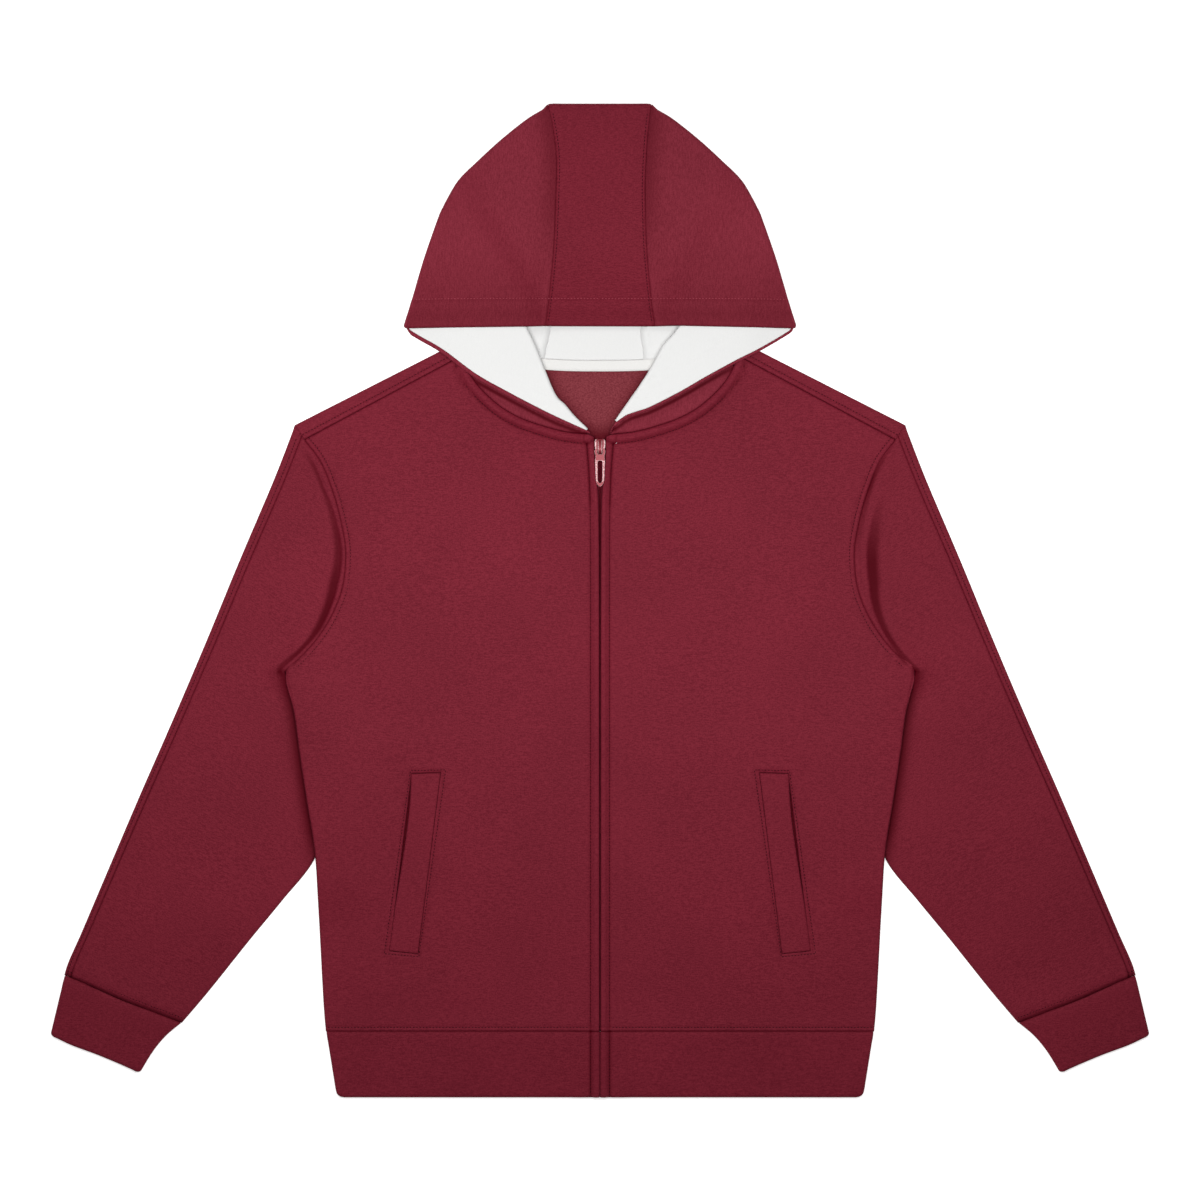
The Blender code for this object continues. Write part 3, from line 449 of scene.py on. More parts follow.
def patch_mesh(name: str, patches: Sequence[Patch], side: Side) -> bpy.types.Mesh:
    """A mesh of patches, welded where they share edges, with its painted shade as the dark
    attribute.

    Args:
        name: its name.
        patches: grids on the right-hand side, in mm.
        side: the side wanted; the left is mirrored.

    Returns:
        The mesh, in metres.
    """
    verts, faces, darks, first = [], [], [], 0
    for patch in patches:
        rows, cols = patch.points.shape[:2]
        verts.append(patch.points.reshape(-1, 3))
        dark = np.zeros((rows, cols)) if patch.dark is None else patch.dark
        darks.append(np.broadcast_to(dark, (rows, cols)).ravel())
        index = first + np.arange(rows * cols).reshape(rows, cols)
        quads = np.stack([index[:-1, :-1], index[:-1, 1:], index[1:, 1:], index[1:, :-1]], -1)
        faces.append(quads[patch.keep] if patch.keep is not None else quads.reshape(-1, 4))
        first += rows * cols
    points, cells = np.vstack(verts) * MM, np.vstack(faces)
    if side is Side.LEFT:
        points, cells = points * [-1.0, 1.0, 1.0], cells[:, ::-1]
    mesh = bpy.data.meshes.new(name)
    fill_mesh(mesh, points, cells)
    layer = mesh.attributes.new("dark", "FLOAT", "POINT")
    layer.data.foreach_set("value", np.concatenate(darks).astype(np.float32))
    with editing(mesh) as work:
        loose = [vert for vert in work.verts if not vert.link_faces]
        bmesh.ops.delete(work, geom=loose, context="VERTS")
        bmesh.ops.remove_doubles(work, verts=work.verts, dist=WELD)
    mesh.shade_smooth()
    return mesh


def add_piece(name: str, mesh: bpy.types.Mesh, finishes: Sequence[bpy.types.Material],
              node: str | None = None, body: str = GARMENT) -> bpy.types.Object:
    """Adds a finished piece that rides on a body.

    Args:
        name: the piece's name.
        mesh: its mesh, in its place.
        finishes: its materials, the face side's first.
        node: the CAD node that it stands for, if any.
        body: the body that carries it.

    Returns:
        The object.
    """
    for finish in finishes:
        mesh.materials.append(finish)
    obj = bpy.data.objects.new(name, mesh)
    bpy.context.scene.collection.objects.link(obj)
    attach(obj, body)
    if node:
        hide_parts(node)
    LOG.info("%s: %d faces", name, len(mesh.polygons))
    return obj


@dataclass(frozen=True)
class Cut:
    """The flat size of a cut piece, in metres, and what it lies on."""

    width: float
    length: float
    held: Held
    rests_on: tuple[str, ...]


def cloth(node: str, patches: Sequence[Patch], finishes: Sequence[bpy.types.Material],
          thick: float = FLEECE, shift: float = 0.0,
          side: Side = Side.RIGHT) -> bpy.types.Object:
    """A cloth piece that stands for a CAD node: patches with a wall.

    Args:
        node: the CAD node.
        patches: the middle surface.
        finishes: face and reverse of the cloth.
        thick: its thickness in mm.
        shift: how far the wall moves along the normals, in mm.
        side: the side it is on.

    Returns:
        The object.
    """
    mesh = patch_mesh(node + "_cloth", patches, side)
    obj = add_piece(node + "_cloth", mesh, finishes, node)
    wall = obj.modifiers.new("Wall", "SOLIDIFY")
    wall.thickness = thick * MM
    wall.offset = 2 * shift / thick
    wall.use_quality_normals = True
    wall.material_offset = len(finishes) - 1
    return obj


# ---- finishes

def linear(code: str) -> tuple[float, float, float, float]:
    """An sRGB hex colour as linear red, green, blue and alpha.

    Args:
        code: the colour, as # and six digits.

    Returns:
        Its linear values.
    """
    values = np.array([int(code[k:k + 2], 16) for k in (1, 3, 5)]) / 255
    values = np.where(values <= 0.04045, values / 12.92, ((values + 0.055) / 1.055) ** 2.4)
    return (*values.tolist(), 1.0)


def add_node(tree: bpy.types.NodeTree, kind: str, inputs: dict | None = None,
             out: int | str = 0, **settings: object) -> Socket:
    """Adds a shader node.

    Args:
        tree: the node tree.
        kind: the node's type.
        inputs: numbers, colours or other nodes' outputs for its inputs.
        out: which of its outputs is wanted.
        settings: its own settings.

    Returns:
        That output.
    """
    node = tree.nodes.new(kind)
    for key, value in settings.items():
        setattr(node, key, value)
    for key, value in (inputs or {}).items():
        if isinstance(value, Socket):
            tree.links.new(value, node.inputs[key])
        else:
            node.inputs[key].default_value = value
    return node.outputs[out]


def new_finish(name: str, **values: object) -> tuple[bpy.types.Material, dict[str, Socket], Socket]:
    """Starts a material.

    Args:
        name: its name.
        values: numbers and colours for its shader's inputs, by their names.

    Returns:
        The material, its shader's inputs, and the place on its object in metres.
    """
    made = bpy.data.materials.new(name)
    made.use_nodes = True
    inputs = made.node_tree.nodes["Principled BSDF"].inputs
    for key, value in values.items():
        inputs[key.replace("_", " ")].default_value = value
    return made, inputs, add_node(made.node_tree, "ShaderNodeTexCoord", out="Object")


@dataclass(frozen=True)
class Knit:
    """A knitted or woven cloth, matte with a soft sheen from its fibre ends.

    The loops are finer than can show, so their rows are drawn as short streaks along the rows
    and a fine relief of wales, both coarser than the real 1 mm loops. Shade is painted into the
    colour: where the dark attribute is set, in seams, creases and troughs, the colour is mixed
    towards a deep painted shade colour, kept red because light goes from fibre to fibre many
    times in shaded cloth.
    """

    name: str
    light: str
    deep: str
    roughness: float = 0.55
    sheen: float = 0.03
    streak: Pair = (4.5, 0.9)
    contrast: float = 0.2
    wale: float = 1.3
    relief: float = 0.12
    mottle: float = 0.1
    # Colour that the dark attribute mixes towards: the painted shade colour.
    painted_shade_colour: str = "#46000C"
    turn: float = 0.0

    def build(self) -> bpy.types.Material:
        """Makes the material: streaked colour times mottling, mixed to the painted shade colour by
        the dark attribute.
        """
        made, surface, place = new_finish(
            self.name, Roughness=self.roughness, IOR=1.5, Specular_IOR_Level=0.03,
            Sheen_Weight=self.sheen, Sheen_Roughness=0.45, Sheen_Tint=linear(self.light))
        tree = made.node_tree
        along, across = (MM * size for size in self.streak)
        rows = add_node(tree, "ShaderNodeMapping",
                        {"Vector": place, "Scale": (along, across, across),
                         "Rotation": (0.0, 0.0, math.radians(self.turn))}, vector_type="TEXTURE")
        streaks = add_node(tree, "ShaderNodeTexNoise",
                           {"Vector": rows, "Scale": 1.0, "Detail": 3.0, "Roughness": 0.6})
        fuzz = add_node(tree, "ShaderNodeTexNoise",
                        {"Vector": place, "Scale": 900.0, "Roughness": 0.6})
        spread = add_node(tree, "ShaderNodeMath", {0: streaks, 1: fuzz}, operation="ADD")
        tone = add_node(tree, "ShaderNodeMapRange",
                        {"Value": spread, "From Min": 1.0 - self.contrast,
                         "From Max": 1.0 + self.contrast})
        colour = add_node(tree, "ShaderNodeMix",
                          {"Factor": tone, 6: linear(self.deep), 7: linear(self.light)}, 2,
                          data_type="RGBA")
        mottle = add_node(tree, "ShaderNodeTexNoise", {"Vector": place, "Scale": 9.0})
        patchy = add_node(tree, "ShaderNodeMapRange",
                          {"Value": mottle, "From Min": 0.3, "From Max": 0.7,
                           "To Min": 1.0 - self.mottle})
        mottled = add_node(tree, "ShaderNodeVectorMath", {0: colour, "Scale": patchy},
                          operation="SCALE")
        # Painted shade: the dark attribute mixes the colour towards the painted shade colour.
        seam = add_node(tree, "ShaderNodeAttribute", out="Fac", attribute_name="dark")
        painted_shade_mixed = add_node(tree, "ShaderNodeMix",
                           {"Factor": seam, 6: mottled, 7: linear(self.painted_shade_colour)}, 2,
                           data_type="RGBA")
        wales = add_node(tree, "ShaderNodeTexWave",
                         {"Vector": place, "Scale": 1.0 / (MM * self.wale) / 20.0 * math.tau,
                          "Distortion": 1.2, "Detail": 1.0, "Detail Scale": 2.0}, "Fac",
                         bands_direction="X")
        loft = add_node(tree, "ShaderNodeMath", {0: wales, 1: spread}, operation="ADD")
        bump = add_node(tree, "ShaderNodeBump",
                        {"Height": loft, "Strength": 0.5, "Distance": self.relief * MM})
        tree.links.new(painted_shade_mixed, surface["Base Color"])
        tree.links.new(bump, surface["Normal"])
        return made


@dataclass(frozen=True)
class Polyester:
    """Sewing thread or zip coil: spun or drawn polyester, with a low satin gloss."""

    name: str
    colour: str
    roughness: float = 0.7
    twist: float = 0.5

    def build(self) -> bpy.types.Material:
        """Makes the material, with the thread's twist as a fine relief."""
        made, surface, place = new_finish(self.name, Roughness=self.roughness, IOR=1.57,
                                          Specular_IOR_Level=0.04)
        tree = made.node_tree
        twist = add_node(tree, "ShaderNodeTexNoise",
                         {"Vector": place, "Scale": 1.0 / (MM * self.twist)})
        tone = add_node(tree, "ShaderNodeMapRange",
                        {"Value": twist, "From Min": 0.25, "From Max": 0.75, "To Min": 0.8,
                         "To Max": 1.1})
        colour = add_node(tree, "ShaderNodeVectorMath",
                          {0: linear(self.colour)[:3], "Scale": tone}, operation="SCALE")
        bump = add_node(tree, "ShaderNodeBump",
                        {"Height": twist, "Strength": 0.4, "Distance": 0.05 * MM})
        tree.links.new(colour, surface["Base Color"])
        tree.links.new(bump, surface["Normal"])
        return made


@dataclass(frozen=True)
class PaintedZinc:
    """Die-cast zinc under coloured lacquer, pale along its edges: worn to bare metal there, and
    painted highlights where edges catch the light.
    """

    name: str
    paint: str
    bare_and_highlight: str

    def build(self) -> bpy.types.Material:
        """Makes the material: paint, with a pale colour where the edge attribute and the wear noise
        meet, for bare metal and painted highlights.
        """
        made, surface, place = new_finish(self.name, Roughness=0.42, IOR=1.5, Metallic=0.35,
                                          Coat_Weight=0.12, Coat_Roughness=0.25)
        tree = made.node_tree
        wear_and_highlight = add_node(tree, "ShaderNodeTexNoise",
                        {"Vector": place, "Scale": 900.0, "Detail": 3.0})
        edge = add_node(tree, "ShaderNodeAttribute", out="Fac", attribute_name="edge")
        worn_and_lit = add_node(tree, "ShaderNodeMath", {0: edge, 1: wear_and_highlight}, operation="ADD")
        bared_and_lit = add_node(tree, "ShaderNodeMapRange",
                         {"Value": worn_and_lit, "From Min": 1.0, "From Max": 1.5, "To Max": 0.75})
        colour = add_node(tree, "ShaderNodeMix",
                          {"Factor": bared_and_lit, 6: linear(self.paint), 7: linear(self.bare_and_highlight)}, 2,
                          data_type="RGBA")
        bump = add_node(tree, "ShaderNodeBump",
                        {"Height": wear_and_highlight, "Strength": 0.15, "Distance": 0.05 * MM})
        tree.links.new(colour, surface["Base Color"])
        tree.links.new(bump, surface["Normal"])
        return made


class Finishes:
    """Every finish of the hoodie, made once from its real colour, except where painted light or
    shade is noted.
    """

    def __init__(self) -> None:
        """Makes the materials, each with what it gives the eye."""
        # Smooth maroon double knit: short streaks along its rows, lighter on the raised loops.
        maroon = ("#792432", "#641826")
        self.fleece = Knit("double_knit_fleece", *maroon).build()
        # The same cloth with its rows upright, a little lighter: a painted sheen, as the hood lies
        # higher.
        self.fleece_upright_painted_sheen = Knit("double_knit_fleece_upright", "#802B39", "#6C1F2C",
                                   streak=(0.9, 5.0)).build()
        # The same cloth with its rows turned square to each sleeve.
        self.fleece_sleeve = {
            side: Knit("double_knit_fleece_sleeve_" + side.value, *maroon,
                       turn=side.sign * 22.7).build() for side in Side}
        # The looped inside of the cloth: rougher, paler and furry.
        self.reverse = Knit("fleece_reverse", "#823A41", "#68272F", roughness=0.9, sheen=0.1,
                            streak=(2.0, 1.2), relief=0.2).build()
        # The bands, a shade deeper where the doubled cloth is denser.
        self.band = Knit("double_knit_band", "#782331", "#631725").build()
        # White jersey: nearly even, with a warm grey as the colour of its painted shade.
        white = {"sheen": 0.02, "mottle": 0.01, "relief": 0.05, "contrast": 0.5,
                 "painted_shade_colour": "#8E8A86"}
        self.lining = Knit("white_jersey_lining", "#D9D9D8", "#D3D3D2", streak=(0.9, 4.0),
                           **white).build()
        self.lining_reverse = Knit("white_jersey_reverse", "#D9D8D6", "#D2D1CF",
                                   **white).build()
        # Woven cotton tape: a close even weave, with a grey painted shade along its stitching.
        self.tape = Knit("woven_cotton_tape", "#DBDAD8", "#D5D4D1", streak=(1.4, 1.4),
                         sheen=0.02, mottle=0.01, wale=1.0, relief=0.16, contrast=0.4,
                         painted_shade_colour="#9A948E").build()
        # Woven polyester: harder and less matte than the cloth beside it.
        self.zip_tape = Knit("woven_polyester_tape", "#7A2636", "#68202E", streak=(1.2, 2.2),
                             roughness=0.7, sheen=0.02).build()
        # Thread: nearly black, a painted shade of the holes where it sinks in; a lighter red on the
        # brim, a painted highlight of its lit ridge; white on the lining.
        self.thread = Polyester("maroon_sewing_thread_painted_shade", "#310610").build()
        self.brim_thread = Polyester("lit_sewing_thread_painted_highlight", "#98414E").build()
        self.white_thread = Polyester("white_sewing_thread", "#E0DFDD").build()
        # The coil: smooth wire that catches small highlights.
        self.coil = Polyester("maroon_zip_coil", "#74202E", roughness=0.42, twist=3.0).build()
        # The slider and its tab: glossy paint with pale edges, worn bare metal and painted
        # highlights.
        self.zinc = PaintedZinc("painted_zinc", "#7B1D29", "#F2D2D2").build()


# ---- layout

# Seam lines and edges of the right-hand side: x from the centre line, and y.
SIDE_EDGE = ((260.5, -410.4), (262.9, -381.0), (267.0, -305.0), (270.7, -241.8),
             (278.7, -191.0), (285.7, -144.8), (290.6, -108.0), (299.3, -67.6))
ARMHOLE = ((299.3, -67.6), (284.0, -53.6), (267.9, -35.1), (254.0, -12.1), (244.8, 13.3),
           (242.0, 43.3), (244.8, 66.4), (252.9, 98.8), (265.6, 131.0), (281.4, 152.6))
ARMHOLE_TIP = (289.6, 165.4)
FRONT_NECK = ((13.1, 157.9), (32.0, 160.0), (52.0, 165.0), (75.7, 173.3), (95.8, 185.0),
              (115.2, 203.0), (125.2, 218.0), (131.0, 232.6))
SHOULDER_TIP = (290.8, 167.4)
SHOULDER_CORNER = (0.78, 0.62)
NECK_POINT = (131.0, 247.6)
HEM_SEAM_Y = -410.4
HEM_BOTTOM_Y = -472.4
HEM_LINE = ((0.0, HEM_SEAM_Y), (262.0, HEM_SEAM_Y))
FRONT_TOP_Y = 155.3
# The slit between the fronts: y, and half its width there.
SLIT = ((-472.4, 0.75), (-60.0, 1.0), (20.0, 1.1), (50.0, 1.25), (80.0, 1.6), (95.0, 1.95),
        (108.0, 2.8), (118.0, 3.7), (130.0, 4.9), (145.0, 5.8), (155.3, 6.0))
OVERARM = ((291.0, 164.6), (310.5, 114.3), (342.9, 38.1), (374.3, -38.1), (406.7, -114.3),
           (440.0, -190.5), (472.4, -266.7), (491.0, -310.6), (504.8, -342.9), (509.3, -356.9))
UNDERARM_EDGE = ((299.3, -67.9), (287.0, -96.0), (270.0, -132.0), (261.0, -170.0),
                 (262.5, -212.0), (273.4, -248.6), (302.9, -285.7), (334.3, -323.8),
                 (372.4, -371.4), (398.4, -402.0))
WINDOW = ((173.0, -336.7), (200.4, -333.8), (179.6, -165.0), (151.5, -164.2))
BAG_BOX = (96.0, -384.0, 202.0, -158.0)
CUFF_SEAM = ((509.3, -357.2), (479.0, -370.0), (455.6, -380.4), (427.0, -391.6),
             (398.4, -402.6))
CUFF_END = ((522.9, -413.5), (504.2, -422.2), (479.0, -431.6), (455.6, -441.3),
            (437.6, -449.5))
# Troughs of the sleeve beside the armhole: how far up the armhole as a fraction, distances from
# the armhole at which the trough starts and ends, and its strength, which sets both its depth and
# its painted shade.
TROUGHS = {
    Side.LEFT: (
        ((0.0, 3.0, 8.3, 0.70), (0.03, 3.0, 8.3, 0.74), (0.08, 2.8, 7.1, 0.9),
         (0.15, 2.3, 7.0, 0.9), (0.22, 1.8, 8.8, 1.0), (0.3, 3.3, 11.0, 1.0),
         (0.4, 4.5, 13.3, 0.95), (0.5, 2.7, 11.0, 0.78), (0.6, 2.8, 9.8, 0.78),
         (0.7, 3.8, 9.3, 0.6), (0.8, 6.4, 9.8, 0.7), (0.9, 6.0, 9.9, 0.65),
         (0.97, 5.0, 9.0, 0.1), (1.0, 5.0, 9.0, 0.0)),),
    Side.RIGHT: (
        ((0.0, 0.0, 4.4, 0.70), (0.03, 0.0, 4.6, 0.75), (0.08, 0.5, 5.6, 0.75),
         (0.15, 2.4, 7.7, 0.82), (0.22, 4.6, 10.6, 0.86), (0.3, 7.1, 15.2, 0.95),
         (0.4, 11.5, 21.6, 1.0), (0.5, 12.0, 22.8, 1.0), (0.6, 12.0, 22.3, 0.72),
         (0.7, 12.0, 19.0, 0.33), (0.78, 12.0, 18.0, 0.0), (1.0, 12.0, 18.0, 0.0)),
        ((0.0, 0.0, 3.5, 0.0), (0.5, 0.0, 3.5, 0.0), (0.6, 0.0, 4.0, 0.4), (0.7, 0.0, 4.5, 0.5),
         (0.8, 0.0, 3.6, 0.85), (0.9, 1.0, 3.6, 0.6), (0.97, 1.0, 3.0, 0.1),
         (1.0, 1.0, 3.0, 0.0))),
}

# Height of the front's middle where nothing lies under it but the back.
FRONT_MID = 1.5 * FLEECE + SHEET_GAP
BAND_RISE = 1.2
TAPE_HALF = 15.0
# Grid columns beside the slit, closest at its edge.
NEAR_ZIP = np.concatenate([np.arange(0.0, 3.0, 0.5), np.arange(3.0, 13.0, 1.0),
                           np.arange(13.0, 24.1, 2.2)])


def slit_half(y: Array) -> Array:
    """Half width of the slit between the front edges at a given y."""
    ys, halves = zip(*SLIT)
    return np.interp(y, ys, halves)


def back_neck(x: Array) -> Array:
    """y of the back neck seam: its middle plus the cube of the distance from it."""
    middle = 222.0
    return middle + (NECK_POINT[1] - middle) * (np.abs(x) / NECK_POINT[0]) ** 3


def swell(xy: Array, size: float, seed: float) -> Array:
    """Slow soft waves of the cloth, 0 to 1: four sines of x and y, out of step, averaged."""
    x, y = xy[..., 0] / size, xy[..., 1] / size
    waves = (np.sin(1.0 * x + 0.7 * y + seed) + np.sin(-0.6 * x + 1.3 * y + 2.1 * seed)
             + np.sin(1.9 * x + 0.4 * y + 3.7 * seed) + np.sin(0.5 * x - 2.1 * y + 5.3 * seed))
    return waves / 8.0 + 0.5


@dataclass(frozen=True)
class Relax:
    """Heights of the laid-out body, as functions of the place in plan."""

    zip_rise: float = 2.4
    tape_rise: float = 1.0
    neck_rise: float = 2.9
    neck_reach: float = 20.0
    band_reach: float = 45.0
    hem_step: float = 20.0
    pocket_rise: float = 1.0
    sleeve_under_body: float = 4.1

    def lift(self, xy: Array, ramp: float, lead: float = 0.0) -> Array:
        """Rise of the body's side over the sleeve under it: one ramp across times two along.

        Args:
            xy: places in plan, x and y last.
            ramp: width of the rise, in mm.
            lead: how much sooner it starts along the side.

        Returns:
            The rise at each place.
        """
        x, y = np.abs(xy[..., 0]), xy[..., 1]
        edge_xs, edge_ys = zip(*UNDERARM_EDGE[5::-1])
        edge = np.interp(y, edge_ys, edge_xs)
        across = smoothstep((x - edge + ramp + 6.0) / ramp)
        along = (smoothstep((-20.0 + lead - y) / 40.0) * smoothstep((y + 300.0 + lead) / 44.0))
        return self.sleeve_under_body * across * along

    def over_zip(self, x: Array, step: Array | float = 0.0) -> Array:
        """Rise over the zip: a plateau over its tapes and a higher one over its chain.

        Args:
            x: distance from the centre line.
            step: what the tapes rise by more, over the hem band.

        Returns:
            The rise at each place.
        """
        near_tape = 1 - smoothstep((x - TAPE_HALF - 5.0) / 12.0)
        over_chain = (self.zip_rise - self.tape_rise) * (1 - smoothstep((x - 3.5) / 4.0))
        return (self.tape_rise + step) * near_tape + over_chain

    def over_bag(self, xy: Array) -> Array:
        """Rise over the pocket bag, with soft sides."""
        x0, y0, x1, y1 = BAG_BOX
        x, y = np.abs(xy[..., 0]), xy[..., 1]
        outside = np.maximum(np.maximum(x0 - x, x - x1), np.maximum(y0 - y, y - y1))
        return self.pocket_rise * (1 - smoothstep((outside - 18.0) / 30.0))

    def front(self, xy: Array) -> Array:
        """Height of the front's middle: the fourth-power mean of its rises, plus the lift."""
        neck_distance = aside(smooth(FRONT_NECK, 24), xy)
        neck = self.neck_rise * (1 - smoothstep(np.abs(neck_distance) / self.neck_reach))
        band = BAND_RISE * (1 - smoothstep((xy[..., 1] - HEM_SEAM_Y) / self.band_reach))
        above = np.clip((xy[..., 1] - HEM_SEAM_Y) / self.hem_step, 0.0, 1.0)
        zipped = self.over_zip(np.abs(xy[..., 0]), (BAND - FLEECE) * (1 - above))
        total = sum(rise ** 4 for rise in (zipped, neck, band, self.over_bag(xy))) ** 0.25
        return FRONT_MID + total + 1.1 * self.lift(xy, 64.0, 10.0)

    def back(self, xy: Array) -> Array:
        """Height of the back's middle."""
        return FLEECE / 2 + self.lift(xy, 44.0)


RELAX = Relax()


# ---- stitches

@dataclass
class Stitches:
    """Rows of topstitching: beads of thread that lie end to end along a line."""

    finish: bpy.types.Material
    slot: str
    pitch: float = 3.1
    length: float = 1.8
    radius: float = 0.42
    runs: list[Array] = field(default_factory=list)

    def bead(self) -> tuple[Array, Array]:
        """One stitch along X: rings of five points between two tips, radius the root of a sine."""
        rings, sides = 3, 5
        t = np.linspace(0.12, 0.88, rings)
        around = np.arange(sides) * math.tau / sides
        swell_at = np.sqrt(np.sin(math.pi * t))
        ring = np.stack([np.broadcast_to(((t - 0.5) * self.length)[:, None], (rings, sides)),
                         self.radius * swell_at[:, None] * np.cos(around),
                         self.radius * swell_at[:, None] * np.sin(around)], axis=-1)
        tips = np.array([[-self.length / 2, 0, 0], [self.length / 2, 0, 0]])
        verts = np.vstack([ring.reshape(-1, 3), tips])
        faces = []
        for k in range(sides):
            after = (k + 1) % sides
            faces.append((rings * sides, after, k, k))
            for r in range(rings - 1):
                low, high = r * sides, (r + 1) * sides
                faces.append((low + k, low + after, high + after, high + k))
            last = (rings - 1) * sides
            faces.append((last + k, last + after, rings * sides + 1, rings * sides + 1))
        return verts, np.array(faces)

    def along(self, curve: Array, height: Height, side: Side, lift: float = 0.0,
              zigzag: float = 0.0) -> None:
        """Adds a row of stitches along a flat curve, on a surface.

        Args:
            curve: the line, on the right-hand side.
            height: top of the cloth at a place.
            side: the side that the row is on.
            lift: how far the thread's middle stands above the cloth.
            zigzag: half the width of a zigzag, or 0 for a straight row.
        """
        count = max(2, round(length_of(curve) / self.pitch))
        ends = spline(curve, np.linspace(0.0, 1.0, count + 1))
        if zigzag:
            swing = zigzag * (-1.0) ** np.arange(count + 1)
            ends = ends + normals_of(ends) * swing[:, None]
        ends = np.column_stack([ends, height(ends[None])[0] + lift])
        ends[:, 0] *= side.sign
        self.runs.append(np.stack([ends[:-1], ends[1:]], axis=1))

    def specks(self, places: Points, height: Height) -> None:
        """Adds single loose thread ends, as long as a stitch, at places of x, y and a turn."""
        for x, y, turn in places:
            half = 0.6 * np.array([math.cos(turn), math.sin(turn)])
            ends = np.array([[x, y] - half, [x, y] + half])
            top = height(ends[None])[0][:, None] + 0.1
            self.runs.append(np.hstack([ends, top])[None])

    def finish_piece(self, name: str) -> bpy.types.Object:
        """Makes one mesh of all the rows: each bead turned along its stitch and moved there.

        Args:
            name: the piece's name.

        Returns:
            The piece.
        """
        ends = np.concatenate(self.runs)
        middle = ends.mean(axis=1)
        along = ends[:, 1] - ends[:, 0]
        along /= np.linalg.norm(along, axis=1)[:, None]
        side = np.stack([-along[:, 1], along[:, 0], np.zeros(len(along))], axis=1)
        side /= np.linalg.norm(side, axis=1)[:, None]
        up = np.cross(along, side)
        verts, faces = self.bead()
        points = (middle[:, None] + verts[None, :, :1] * along[:, None]
                  + verts[None, :, 1:2] * side[:, None] + verts[None, :, 2:] * up[:, None])
        offset = np.arange(len(ends))[:, None, None] * len(verts)
        mesh = bpy.data.meshes.new(name)
        cells = (faces[None] + offset).reshape(-1, 4)
        mesh.from_pydata((points.reshape(-1, 3) * MM).tolist(), [],
                         [tuple(dict.fromkeys(cell)) for cell in cells.tolist()])
        mesh.shade_smooth()
        return add_piece(name, mesh, [self.finish])


# ---- body

def shoulder_line(fractions: Array) -> Array:
    """The forward shoulder seam, from the neck to the armhole."""
    return straight(FRONT_NECK[-1], ARMHOLE[-1], fractions)


